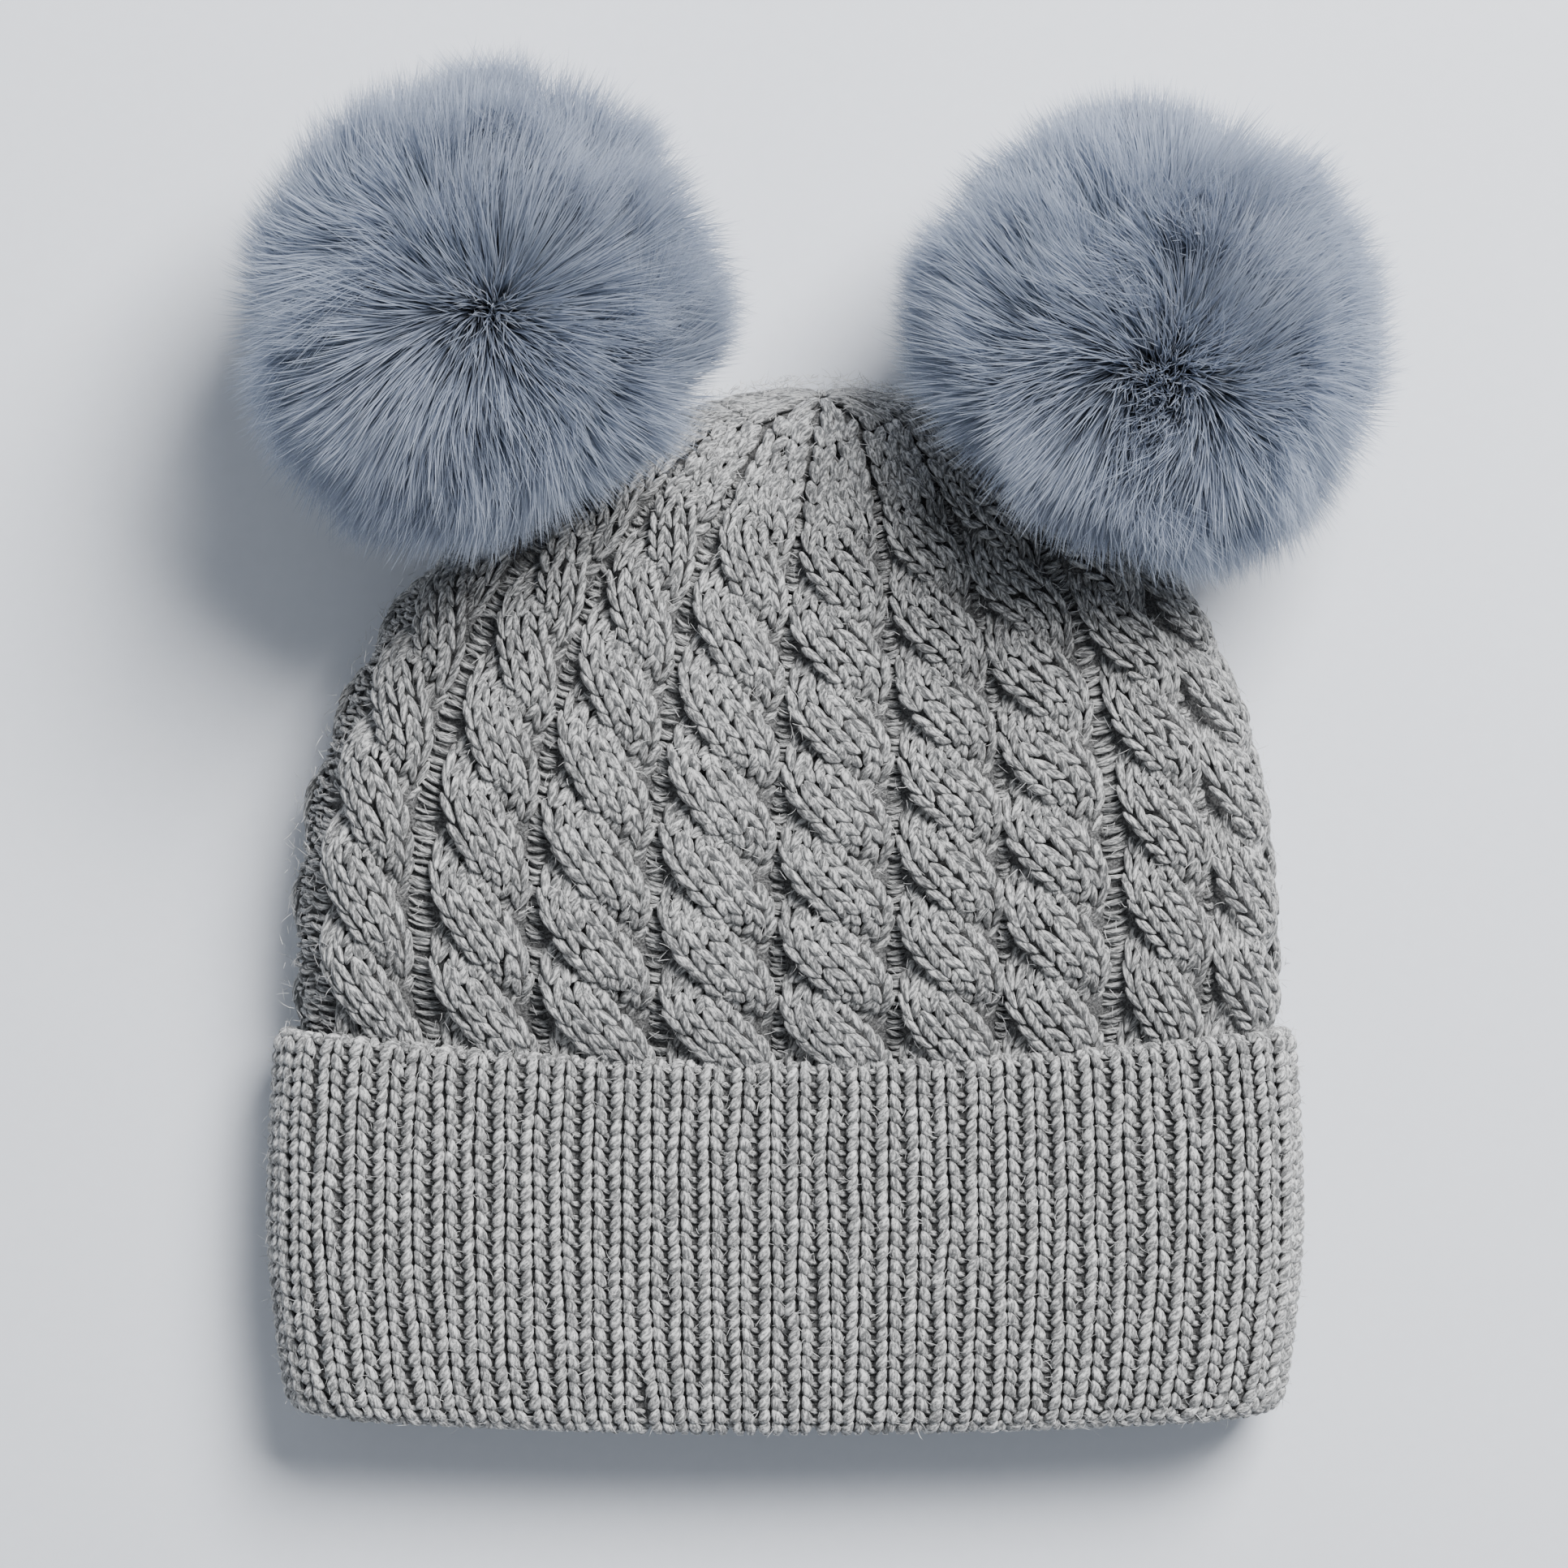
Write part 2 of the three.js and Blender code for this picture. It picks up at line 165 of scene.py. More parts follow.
CUFF_COLUMNS = 76  # ribs round the cuff
ROW = 3.1  # from one row of stitches to the next

# Where the cables of the front sit, as distances round the hat from the middle of the front at the cuff.
FRONT_CABLES = [-87.5, -63.4, -39.4, -13.6, 11.3, 35.4, 57.6, 80.8, 99.4]
BACK_CABLES = 9
BACK_PITCH = 24.6
CABLE_PITCH = 24.0
LOBE_ROWS = 6  # rows of stitches from one crossing of a cable to the next
LOBES = 8
CABLES_START = 0.17  # share of the way from the gather to the cuff where the crossings begin

# Each pom pom: the ball, where its snap sits on the hat, and where its hair parts.
POMPOMS = {
    "left": {"centre": (-70.05, 93.9, 53.6), "radius": 53.6,
             "snap": (-46.93, 50.0, 19.2), "whorl": (-66.5, 92.5, 107.0)},
    "right": {"centre": (70.95, 88.2, 52.8), "radius": 52.8,
              "snap": (44.15, 49.19, 19.24), "whorl": (87.0, 79.5, 103.0)},
}
PIVOT = 18.6  # where a pom pom tips, along the snap
BASE_SLOPE = math.tan(math.radians(12.5))  # the fur's underside, clear of the crown when a pom pom tips
THREAD_HEIGHT = 23.7  # the gathering thread's middle on the backing disc, along the snap
THREAD_RING = 12.0  # radius of its ring
THREAD_TOP = 24.7
DISC_REACH = 17.5  # fur nearer the snap than this stops above the thread

HAIRS = 92000  # for each pom pom
TUFTS, LOCKS = 560, 5200  # groups of hair, large and small
FUR_REACH = 1.18  # the longest hair's tip, in radii of the ball
HAIR_ROOT = 0.58
SHORTEST_HAIR = 0.64
HAIR_HALF_WIDTH = 0.23
UNDERCOAT = 0.6  # share of the hairs that are short

TABLE_REACH = 1.15  # knit lower than this is pressed flat on the table
TABLE_GAP = 0.15


# ---- helpers --------------------------------------------------------------------------------------

def unit(v):
    return v / np.maximum(np.linalg.norm(v, axis=-1, keepdims=True), 1e-9)


def smooth(t):
    t = np.clip(t, 0, 1)
    return t * t * (3 - 2 * t)


def circle(sides):
    return np.arange(sides) * 2 * math.pi / sides


def waves(places, rng, count, pitch):
    """A smooth random field over space, about -1 to 1."""
    total = np.zeros(len(places))
    for _ in range(count):
        total += np.sin(places @ (rng.normal(0, pitch, 3)) + rng.uniform(0, 2 * math.pi))
    return total / math.sqrt(count)


def through(stations, per_step=24):
    """A Catmull-Rom curve through rows of values, finely sampled."""
    rows = np.vstack([2 * stations[0] - stations[1], stations, 2 * stations[-1] - stations[-2]])
    out = []
    for i in range(1, len(rows) - 2):
        t = np.linspace(0, 1, per_step, endpoint=False)[:, None]
        p0, p1, p2, p3 = rows[i - 1], rows[i], rows[i + 1], rows[i + 2]
        bend = (2 * p0 - 5 * p1 + 4 * p2 - p3) * t**2 + (3 * p1 - p0 - 3 * p2 + p3) * t**3
        out.append(0.5 * (2 * p1 + (p2 - p0) * t + bend))
    return np.vstack(out + [rows[-2:-1]])


def section(share, half_width, half_thickness, stretch):
    """x and z on a flattened ring, at a share of its length from the middle of the front, -0.5 to 0.5."""
    edge = np.minimum(half_thickness * stretch, half_width)
    straight = half_width - edge
    quarter = math.pi / 2 * np.sqrt((edge**2 + half_thickness**2) / 2)
    back = np.abs(share) > 0.25
    way = np.where(back, 0.5 - np.abs(share), np.abs(share)) * 4 * (straight + quarter)
    angle = np.clip((way - straight) / np.maximum(quarter, 1e-6), 0, 1) * math.pi / 2
    x = np.where(way < straight, way, straight + edge * np.sin(angle))
    z = np.where(way < straight, half_thickness, half_thickness * np.cos(angle))
    return x * np.sign(share), np.where(back, -z, z)


class Skin:
    """A surface of knitting: a point, its normal and its scale at a share round and a share along it."""

    def __init__(self, rows, around=721, along=421, bulge=0.0):
        shares = np.linspace(-0.5, 0.5, around)[:, None]
        y, half_width, half_thickness, x0, z0, sag, lean, stretch = rows.T[:, None, :]
        x, z = section(shares, half_width, half_thickness, stretch)
        across = x / np.maximum(half_width, 1e-6)
        y = y - sag * (1 - across**2) - lean * z / np.maximum(half_thickness, 1e-6)
        z = np.where(z > 0, z * (1 + bulge * (1 - across**2)), z)
        grid = np.stack([x0 + x, y, z0 + z], -1)
        steps = np.linalg.norm(np.diff(grid, axis=1), axis=-1)
        reach = np.concatenate([np.zeros((around, 1)), np.cumsum(steps, 1)], 1)
        even = np.linspace(0, 1, along)
        self.grid = np.empty((around, along, 3))
        for i in range(around):
            for k in range(3):
                self.grid[i, :, k] = np.interp(even * reach[i, -1], reach[i], grid[i, :, k])
        self.length = reach[:, -1]
        wrapped = np.concatenate([self.grid[-2:-1], self.grid, self.grid[1:2]], 0)
        self.round = (wrapped[2:] - wrapped[:-2]) * (around - 1) / 2
        self.down = np.gradient(self.grid, axis=1) * (along - 1)
        self.normal = unit(np.cross(self.down, self.round))

    def _at(self, values, share, way):
        share = (np.asarray(share) + 0.5) % 1.0
        i = share * (values.shape[0] - 1)
        j = np.clip(way, 0, 1) * (values.shape[1] - 1)
        i0 = np.clip(i.astype(int), 0, values.shape[0] - 2)
        j0 = np.clip(j.astype(int), 0, values.shape[1] - 2)
        a, b = (i - i0)[..., None], (j - j0)[..., None]
        low = values[i0, j0] * (1 - a) + values[i0 + 1, j0] * a
        high = values[i0, j0 + 1] * (1 - a) + values[i0 + 1, j0 + 1] * a
        return low * (1 - b) + high * b

    def point(self, share, way, height=0.0):
        height = np.asarray(height, float)
        return self._at(self.grid, share, way) + self.normal_at(share, way) * height[..., None]

    def normal_at(self, share, way):
        return unit(self._at(self.normal, share, way))

    def width(self, share, way):
        """Millimetres round the surface for the whole of its round, at the scale of this place."""
        return np.linalg.norm(self._at(self.round, share, way), axis=-1)


def profile_rows(profile):
    fine = through(profile)
    rise = np.clip((fine[:, 0] - CUFF_BOTTOM_Y) / (CUFF_TOP_Y - CUFF_BOTTOM_Y), 0, 1)
    rows = np.zeros((len(fine), 8))
    rows[:, 0:3] = fine
    rows[:, 3] = CUFF_CENTRE_X
    rows[:, 4] = CUFF_CENTRE_Z
    rows[:, 5] = BOTTOM_SAG + (TOP_SAG - BOTTOM_SAG) * rise
    rows[:, 7] = 1
    return rows


def crown_rows():
    fine = through(CROWN_STATIONS)
    lean = np.gradient(fine[:, 1]) / np.gradient(fine[:, 0])
    rows = np.hstack([fine, np.hypot(1, np.clip(lean, -3, 3))[:, None]])
    return rows[::-1]


# ---- meshes ---------------------------------------------------------------------------------------

class Template:
    """A small form that is repeated: its faces, and each corner's place in its own cell of the map."""

    def __init__(self, rings, sides, quads, tris, quad_uv, tri_uv):
        self.rings, self.sides = rings, sides
        self.quads = np.array(quads, np.int64).reshape(-1, 4)
        self.tris = np.array(tris, np.int64).reshape(-1, 3)
        self.quad_uv = np.array(quad_uv, float).reshape(-1, 4, 2)
        self.tri_uv = np.array(tri_uv, float).reshape(-1, 3, 2)


def tube_template(rings, sides):
    """A closed tube: a first tip, rings of corners, a last tip."""
    quads, tris, quad_uv, tri_uv = [], [], [], []
    last = 1 + rings * sides
    ring_at = np.linspace(0.12, 0.88, rings)
    for j in range(sides):
        k = (j + 1) % sides
        u0, u1 = j / sides, (j + 1) / sides
        tris.append([0, 1 + k, 1 + j])
        tri_uv.append([[(u0 + u1) / 2, 0], [u1, ring_at[0]], [u0, ring_at[0]]])
        for i in range(rings - 1):
            a, b = 1 + i * sides, 1 + (i + 1) * sides
            quads.append([a + j, a + k, b + k, b + j])
            v0, v1 = ring_at[i], ring_at[i + 1]
            quad_uv.append([[u0, v0], [u1, v0], [u1, v1], [u0, v1]])
        end = 1 + (rings - 1) * sides
        tris.append([last, end + j, end + k])
        tri_uv.append([[(u0 + u1) / 2, 1], [u0, ring_at[-1]], [u1, ring_at[-1]]])
    return Template(rings, sides, quads, tris, quad_uv, tri_uv)


def ribbon_template(rings):
    """A flat tapering ribbon: pairs of corners, then a tip."""
    quads, quad_uv = [], []
    for i in range(rings - 1):
        a, b = 2 * i, 2 * i + 2
        quads.append([a, a + 1, b + 1, b])
        low, high = i / rings, (i + 1) / rings
        quad_uv.append([[0, low], [1, low], [1, high], [0, high]])
    end, share = 2 * (rings - 1), (rings - 1) / rings
    tip = [[end, end + 1, end + 2]]
    return Template(rings, 2, quads, tip, quad_uv, [[[0, share], [1, share], [0.5, 1]]])


def settled(points):
    """What would sink into the table is pressed flat on it instead."""
    z = points[:, 2]
    pressed = TABLE_GAP + np.exp(np.minimum(z - TABLE_REACH, 0))
    return np.column_stack([points[:, :2], np.where(z < TABLE_REACH, pressed, z)])


def fill_mesh(name, points, quads, tris, corner_uv, material, attributes):
    """A mesh object from corners in millimetres, faces, a map place for each face's corner, and named
    values for each corner."""
    mesh = bpy.data.meshes.new(name)
    loops = np.concatenate([quads.ravel(), tris.ravel()]).astype(np.int32)
    starts = np.concatenate([np.arange(len(quads)) * 4, len(quads) * 4 + np.arange(len(tris)) * 3])
    starts = starts.astype(np.int32)
    mesh.vertices.add(len(points))
    mesh.vertices.foreach_set("co", (settled(points) * MM).astype(np.float32).ravel())
    mesh.loops.add(len(loops))
    mesh.loops.foreach_set("vertex_index", loops)
    mesh.polygons.add(len(starts))
    mesh.polygons.foreach_set("loop_start", starts)
    mesh.polygons.foreach_set("use_smooth", np.ones(len(starts), bool))
    mesh.update(calc_edges=True)
    layer = mesh.uv_layers.new(name=BAKE_MAP)
    layer.data.foreach_set("uv", corner_uv.astype(np.float32).ravel())
    for key, values in attributes.items():
        kind, field = ("FLOAT_VECTOR", "vector") if values.ndim == 2 else ("FLOAT", "value")
        attribute = mesh.attributes.new(key, kind, "POINT")
        attribute.data.foreach_set(field, values.astype(np.float32).ravel())
    mesh.validate()
    mesh.materials.append(material)
    piece = bpy.data.objects.new(name, mesh)
    bpy.context.scene.collection.objects.link(piece)
    return piece


def placed(piece, body, node=None):
    """Says which body a piece rides, and hides the CAD node it stands for."""
    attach(piece, body)
    if node:
        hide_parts(node)
    return piece


def flat_map(flat, loops):
    """A map place for each face's corner, from the corners' places on a plane."""
    return 0.05 + 0.9 * (flat[loops] - flat.min(0)) / np.maximum(np.ptp(flat, axis=0), 1e-6)


def evenly_toned(fibre, shade=0.6):
    return {"fibre": fibre, "shade": np.full(len(fibre), shade)}


def repeated(name, points, template, material, attributes, aspect=1.0):
    """Many copies of a template's form, points being (copies, corners, 3). Each copy has its own cell of
    the map."""
    count, size = points.shape[:2]
    first = (np.arange(count) * size)[:, None, None]
    quads = (template.quads[None] + first).reshape(-1, 4)
    tris = (template.tris[None] + first).reshape(-1, 3)
    columns = max(1, math.ceil(math.sqrt(count * aspect)))
    lines = math.ceil(count / columns)
    cell = np.stack([np.arange(count) % columns, np.arange(count) // columns], -1)[:, None, None, :]
    scale = np.array([columns, lines])
    quad_uv = (cell + 0.1 + 0.8 * template.quad_uv[None]) / scale
    tri_uv = (cell + 0.1 + 0.8 * template.tri_uv[None]) / scale
    corner_uv = np.concatenate([quad_uv.reshape(-1, 2), tri_uv.reshape(-1, 2)])
    flat = {key: values.reshape(count * size, *values.shape[2:])
            for key, values in attributes.items()}
    return fill_mesh(name, points.reshape(-1, 3), quads, tris, corner_uv, material, flat)


def surface_piece(name, skin, material, around, along, height, ways=(0.0, 1.0)):
    """A closed band of surface, sampled from a skin, raised by height(share, way)."""
    share, way = np.meshgrid(
        np.linspace(-0.5, 0.5, around, endpoint=False), np.linspace(*ways, along), indexing="ij")
    points = skin.point(share, way, height(share, way))
    index = np.arange(around * along).reshape(around, along)
    nxt = np.roll(index, -1, axis=0)
    quads = np.stack([index[:, :-1], index[:, 1:], nxt[:, 1:], nxt[:, :-1]], -1).reshape(-1, 4)
    i, j = np.meshgrid(np.arange(around), np.arange(along - 1), indexing="ij")
    corners = [(i, j), (i, j + 1), (i + 1, j + 1), (i + 1, j)]
    uv = np.stack([np.stack([a / around, b / (along - 1)], -1) for a, b in corners], -2).reshape(-1, 2)
    fibre = points.reshape(-1, 3)
    return fill_mesh(name, fibre, quads, NO_TRIS, uv, material, evenly_toned(fibre, 0.5))


# ---- yarn -----------------------------------------------------------------------------------------

FINE_TUBE = tube_template(4, 6)
PLAIN_TUBE = tube_template(3, 5)


def yarn_legs(name, start, end, normal, width, height, material, seed, arch=0.5, bow=0.0,
              template=FINE_TUBE, fat=0.0):
    """Plump tapering lengths of yarn from start to end. arch lifts the middle off the fabric, bow bends
    it sideways, and fat moves its thickest place towards the end."""
    rng = np.random.default_rng(seed)
    count = len(start)
    way = np.concatenate([[0.0], np.repeat(np.linspace(0.1, 0.9, template.rings), template.sides), [1.0]])
    angle = np.concatenate([[0.0], np.tile(circle(template.sides), template.rings), [0.0]])
    swell = np.sqrt(np.clip(4 * way * (1 - way), 0, 1)) * (1 + fat * (2 * way - 1))
    swell[0] = swell[-1] = 0
    run = end - start
    length = np.linalg.norm(run, axis=-1)
    side = unit(np.cross(run, normal))
    up = unit(np.cross(side, run))
    across = np.cos(angle) * swell
    rise = np.sin(angle) * swell
    hump = 4 * way * (1 - way)
    width = np.broadcast_to(width, count)[:, None, None]
    height = np.broadcast_to(height, count)[:, None, None]
    bow = np.broadcast_to(bow, count)[:, None, None]
    points = start[:, None] + run[:, None] * way[None, :, None]
    points = points + side[:, None] * (across[None, :, None] * width / 2 + bow * hump[None, :, None])
    points = points + up[:, None] * (rise[None, :, None] * height / 2 + arch * hump[None, :, None])
    twist = angle + 2.2 * way
    fibre = np.empty((count, len(way), 3))
    fibre[..., 0] = np.cos(twist) * swell * 1.1
    fibre[..., 1] = np.sin(twist) * swell * 1.1
    fibre[..., 2] = way * length[:, None] * 0.22
    fibre += rng.uniform(0, 400, (count, 1, 3))
    shade = np.repeat(rng.uniform(0, 1, (count, 1)), len(way), 1)
    return repeated(name, points, template, material, {"fibre": fibre, "shade": shade})


# ---- materials ------------------------------------------------------------------------------------

def new_material(name, roughness, metallic=0.0, sheen=0.0):
    material = bpy.data.materials.new(name)
    material.use_nodes = True
    tree = material.node_tree
    shader = tree.nodes["Principled BSDF"]
    shader.inputs["Roughness"].default_value = roughness
    shader.inputs["Metallic"].default_value = metallic
    shader.inputs["Sheen Weight"].default_value = sheen
    shader.inputs["Specular IOR Level"].default_value = 0.25
    return material, tree, shader


def value_from(tree, name, output="Fac"):
    node = tree.nodes.new("ShaderNodeAttribute")
    node.attribute_name = name
    return node.outputs[output]


def noise(tree, vector, scale, detail=3.0, roughness=0.55):
    node = tree.nodes.new("ShaderNodeTexNoise")
    node.inputs["Scale"].default_value = scale
    node.inputs["Detail"].default_value = detail
    node.inputs["Roughness"].default_value = roughness
    tree.links.new(vector, node.inputs["Vector"])
    return node.outputs["Fac"]


def ramp(tree, factor, stops):
    node = tree.nodes.new("ShaderNodeValToRGB")
    while len(node.color_ramp.elements) < len(stops):
        node.color_ramp.elements.new(0.5)
    for element, (place, colour) in zip(node.color_ramp.elements, stops):
        element.position = place
        element.color = (*colour, 1)
    tree.links.new(factor, node.inputs["Fac"])
    return node.outputs["Color"]


def colour_mix(tree, factor, a, b, mode="MIX"):
    """A colour mix of sockets or plain colours, by a socket or a plain share."""
    node = tree.nodes.new("ShaderNodeMix")
    node.data_type = "RGBA"
    node.blend_type = mode
    first, second = [socket for socket in node.inputs if socket.type == "RGBA"]
    for socket, value in ((node.inputs[0], factor), (first, a), (second, b)):
        if isinstance(value, bpy.types.NodeSocket):
            tree.links.new(value, socket)
        elif isinstance(value, tuple):
            socket.default_value = (*value, 1)
        else:
            socket.default_value = value
    return [s for s in node.outputs if s.type == "RGBA"][0]


def bump(tree, shader, height, strength, distance):
    node = tree.nodes.new("ShaderNodeBump")
    node.inputs["Strength"].default_value = strength
    node.inputs["Distance"].default_value = distance
    tree.links.new(height, node.inputs["Height"])
    tree.links.new(node.outputs["Normal"], shader.inputs["Normal"])


def yarn_material(name, dark, mid, light):
    """Mottled yarn: light and dark fibres running along each length of it."""
    material, tree, shader = new_material(name, 0.92, sheen=0.25)
    shader.inputs["Sheen Roughness"].default_value = 0.6
    fibre = value_from(tree, "fibre", "Vector")
    shade = value_from(tree, "shade")
    streaks = noise(tree, fibre, 1.9, 3.0, 0.6)
    colour = ramp(tree, streaks, [(0.40, dark), (0.5, mid), (0.60, light)])
    toned = ramp(tree, shade, [(0.0, (0.78,) * 3), (1.0, (1.0,) * 3)])
    tree.links.new(colour_mix(tree, 1.0, colour, toned, "MULTIPLY"), shader.inputs["Base Color"])
    bump(tree, shader, streaks, 0.9, 0.00035)
    return material


# The cable yarn is a darker copy of the rib yarn: the grey is the yarn's own, and the darkening is painted
# shade for the crown's sides falling away from the light and the pom poms' shadows on it.
CABLE_YARN = yarn_material(
    "cable_yarn", (0.11, 0.113, 0.116), (0.30, 0.304, 0.306), (0.70, 0.702, 0.70))
RIB_YARN = yarn_material(
    "rib_yarn", (0.15, 0.153, 0.156), (0.385, 0.389, 0.391), (0.80, 0.802, 0.80))
# Near-black yarn for the fabric behind the stitches: its darkness is painted shade, for the shade that
# falls in the gaps between the stitches and inside the hat.
PAINTED_SHADE_YARN = yarn_material(
    "yarn_behind_painted_shade", (0.05, 0.051, 0.053), (0.11, 0.111, 0.113), (0.20, 0.201, 0.202))


# ---- the turned-up cuff and the band behind it ------------------------------------------------------

def wander(columns, rows, amount, seed):
    """A slow sideways wandering of each column, smooth along it."""
    rng = np.random.default_rng(seed)
    knots = rng.normal(0, 1, (columns, 9))
    places = np.linspace(0, 8, rows)
    low = np.clip(places.astype(int), 0, 7)
    t = smooth(places - low)
    return amount * (knots[:, low] * (1 - t) + knots[:, low + 1] * t)


RIB_LEG_REACH = 1.28  # length of a leg of a rib stitch, in rows
SUNKEN_DEPTH = 1.7  # the sunken columns, below the skin


def rib_fabric(prefix, skin, body, seed, ways, up, parts, template=FINE_TUBE):
    """Rib knitting on a skin: columns of stitches with a sunken column between. up is True for stitches
    that point to the start."""
    columns = CUFF_COLUMNS
    rng = np.random.default_rng(seed)
    length = float(np.median(skin.length)) * (ways[1] - ways[0])
    rows = int(round(length / ROW))
    drift = wander(columns, rows + 1, 0.045 / columns, seed)
    pieces = []
    column, row = np.meshgrid(np.arange(columns), np.arange(rows), indexing="ij")
    column, row = column.ravel(), row.ravel()
    step = (ways[1] - ways[0]) / rows
    top = ways[0] + row * step
    bottom = top + step * RIB_LEG_REACH
    for hand in (-1, 1):
        centre = (column + 0.5) / columns - 0.5 + drift[column, row]
        wide = 0.35 if hand < 0 else 0.335
        outer = centre + hand * wide / columns
        inner = centre + hand * 0.095 / columns
        jitter = rng.normal(0, 0.02 / columns, (2, len(row)))
        high, low = (inner, outer) if up else (outer, inner)
        high_lift, low_lift = (0.2, -0.35) if up else (-0.35, 0.2)
        start = skin.point(high + jitter[0], top, np.full(len(row), high_lift))
        end = skin.point(low + jitter[1], bottom, np.full(len(row), low_lift))
        normal = skin.normal_at(centre, (top + bottom) / 2)
        width = (2.5 if hand < 0 else 2.35) * rng.uniform(0.9, 1.1, len(row))
        for part in range(parts):
            chosen = (column * parts // columns) == part
            name = f"{prefix}_{'left' if hand < 0 else 'right'}_legs_{part + 1}"
            pieces.append(yarn_legs(
                name, start[chosen], end[chosen], normal[chosen], width[chosen], 2.5, RIB_YARN,
                seed + 10 * part + hand, arch=0.45, bow=hand * 0.12 * (1 if up else -1),
                template=template, fat=0.3 if up else -0.3))
    trough = (column + 1.0) / columns - 0.5 + drift[column, row]
    lift = np.full(len(row), -SUNKEN_DEPTH)
    start = skin.point(trough - 0.22 / columns, top + 0.3 * step, lift)
    end = skin.point(trough + 0.22 / columns, top + 0.42 * step, lift)
    normal = skin.normal_at(trough, top)
    pieces.append(yarn_legs(f"{prefix}_sunken_loops", start, end, normal, 1.5, 1.5, RIB_YARN, seed + 5,
                            arch=0.35, template=PLAIN_TUBE))
    for piece in pieces:
        placed(piece, body)


def rib_backing(name, skin, material, body, node, faces, depth, ridge, ways=(0.0, 1.0)):
    """The close fabric behind the stitches of the rib, following its columns."""
    def height(share, way):
        across = math.pi * (share + 0.5) * CUFF_COLUMNS + math.pi / 2
        return -depth + ridge * np.abs(np.cos(across)) ** 0.7

    placed(surface_piece(name, skin, material, *faces, height, ways), body, node)


cuff_skin = Skin(profile_rows(CUFF_PROFILE))
rib_fabric("cuff", cuff_skin, "cuff", 11, (0.0, 1.0), True, 2)
# The cuff's backing is painted shade: near-black yarn for the shade between the rib columns.
rib_backing("cuff_fabric", cuff_skin, PAINTED_SHADE_YARN, "cuff", "turned_up_cuff", (456, 110), 2.4, 1.0)

band_skin = Skin(profile_rows(BAND_PROFILE))
OUTSIDE, INSIDE = (0.0, 0.5), (0.5, 1.0)
rib_fabric("band", band_skin, "hat", 41, OUTSIDE, False, 1, template=PLAIN_TUBE)
# The outside of the band, under the cuff, is painted shade in near-black yarn; its inside keeps the rib
# yarn.
rib_backing("band_fabric", band_skin, PAINTED_SHADE_YARN, "hat", "head_band", (456, 70), 2.2, 1.0, OUTSIDE)
rib_backing("band_inside", band_skin, RIB_YARN, "hat", None, (608, 90), 1.9, 1.3, INSIDE)


# ---- the cabled crown -------------------------------------------------------------------------------

crown_skin = Skin(crown_rows(), bulge=0.14)
CROWN_ROUND = float(crown_skin.width(np.array([0.0]), np.array([0.97]))[0])


def cable_shares():
    """The place of each cable round the hat, as a share from the middle of the front."""
    back = [FRONT_CABLES[-1] + BACK_PITCH * (i + 1) for i in range(BACK_CABLES)]
    return np.array(FRONT_CABLES + back) / CROWN_ROUND


def cable_widths(shares):
    """Each cable's share of the round: what its neighbours leave it, and less beside the purl strip."""
    gaps = np.diff(np.concatenate([shares, [shares[0] + 1]]))
    before = np.roll(gaps, 1)
    fill = 1.0 - 0.17 * smooth((-35 - shares * CROWN_ROUND) / 50)
    return np.minimum(np.minimum(gaps, before), CABLE_PITCH / CROWN_ROUND * 1.05) * fill


CABLES = cable_shares()
CABLE_SHARES = cable_widths(CABLES)
LOBE_WAY = (1.0 - CABLES_START) / LOBES
SWING = 0.235  # how far a strand swings to each side, in cable pitches
STRAND_HALF = 0.275  # half the width of a strand
CROSSING_HEIGHT = 3.2  # how far the front strand rises where two cross
STRAND_CROWN = 2.3  # how far a strand's middle stands above its edges
STRAND_COLUMNS = 3
TUCK = (0.925, 0.05)  # where the crown goes in under the cuff: begin and length, as shares of the way
LADDER_SPACING = 4.6


def strand_place(cable, lobe, across, turn):
    """The share round, way down and height of a strand of a cable: turn runs from -1 to 1 through the
    crossing where it lies in front, across is -1 to 1 over its width."""
    way = CABLES_START + (lobe + turn) * LOBE_WAY
    opened = smooth((way - CABLES_START + 0.45 * LOBE_WAY) / (1.3 * LOBE_WAY))
    swing = SWING * opened
    slope = swing * math.pi * np.cos(math.pi * turn)
    tilt = np.arctan(slope * 1.5) * 0.55
    share = swing * np.sin(math.pi * turn) + across * STRAND_HALF * np.cos(tilt)
    lean = across * STRAND_HALF * np.sin(tilt) * CABLE_PITCH / 15.0
    height = CROSSING_HEIGHT * opened * (1 - 2 * smooth((np.abs(turn) - 0.36) / 0.5))
    height = height + STRAND_CROWN * np.sqrt(np.clip(1 - (across * 0.92) ** 2, 0, 1)) - 2.4
    return CABLES[cable] + share * CABLE_SHARES[cable], way - lean * LOBE_WAY, height


def crown_point(cable, lobe, across, turn, lift=0.0):
    share, way, height = strand_place(cable, lobe, across, turn)
    scale = np.clip(crown_skin.width(share, way) / CROWN_ROUND, 0.75, 1.0)
    tucked = smooth((way - TUCK[0]) / TUCK[1])
    return crown_skin.point(share, way, height * scale * (1 - tucked) - 0.9 * tucked + lift)


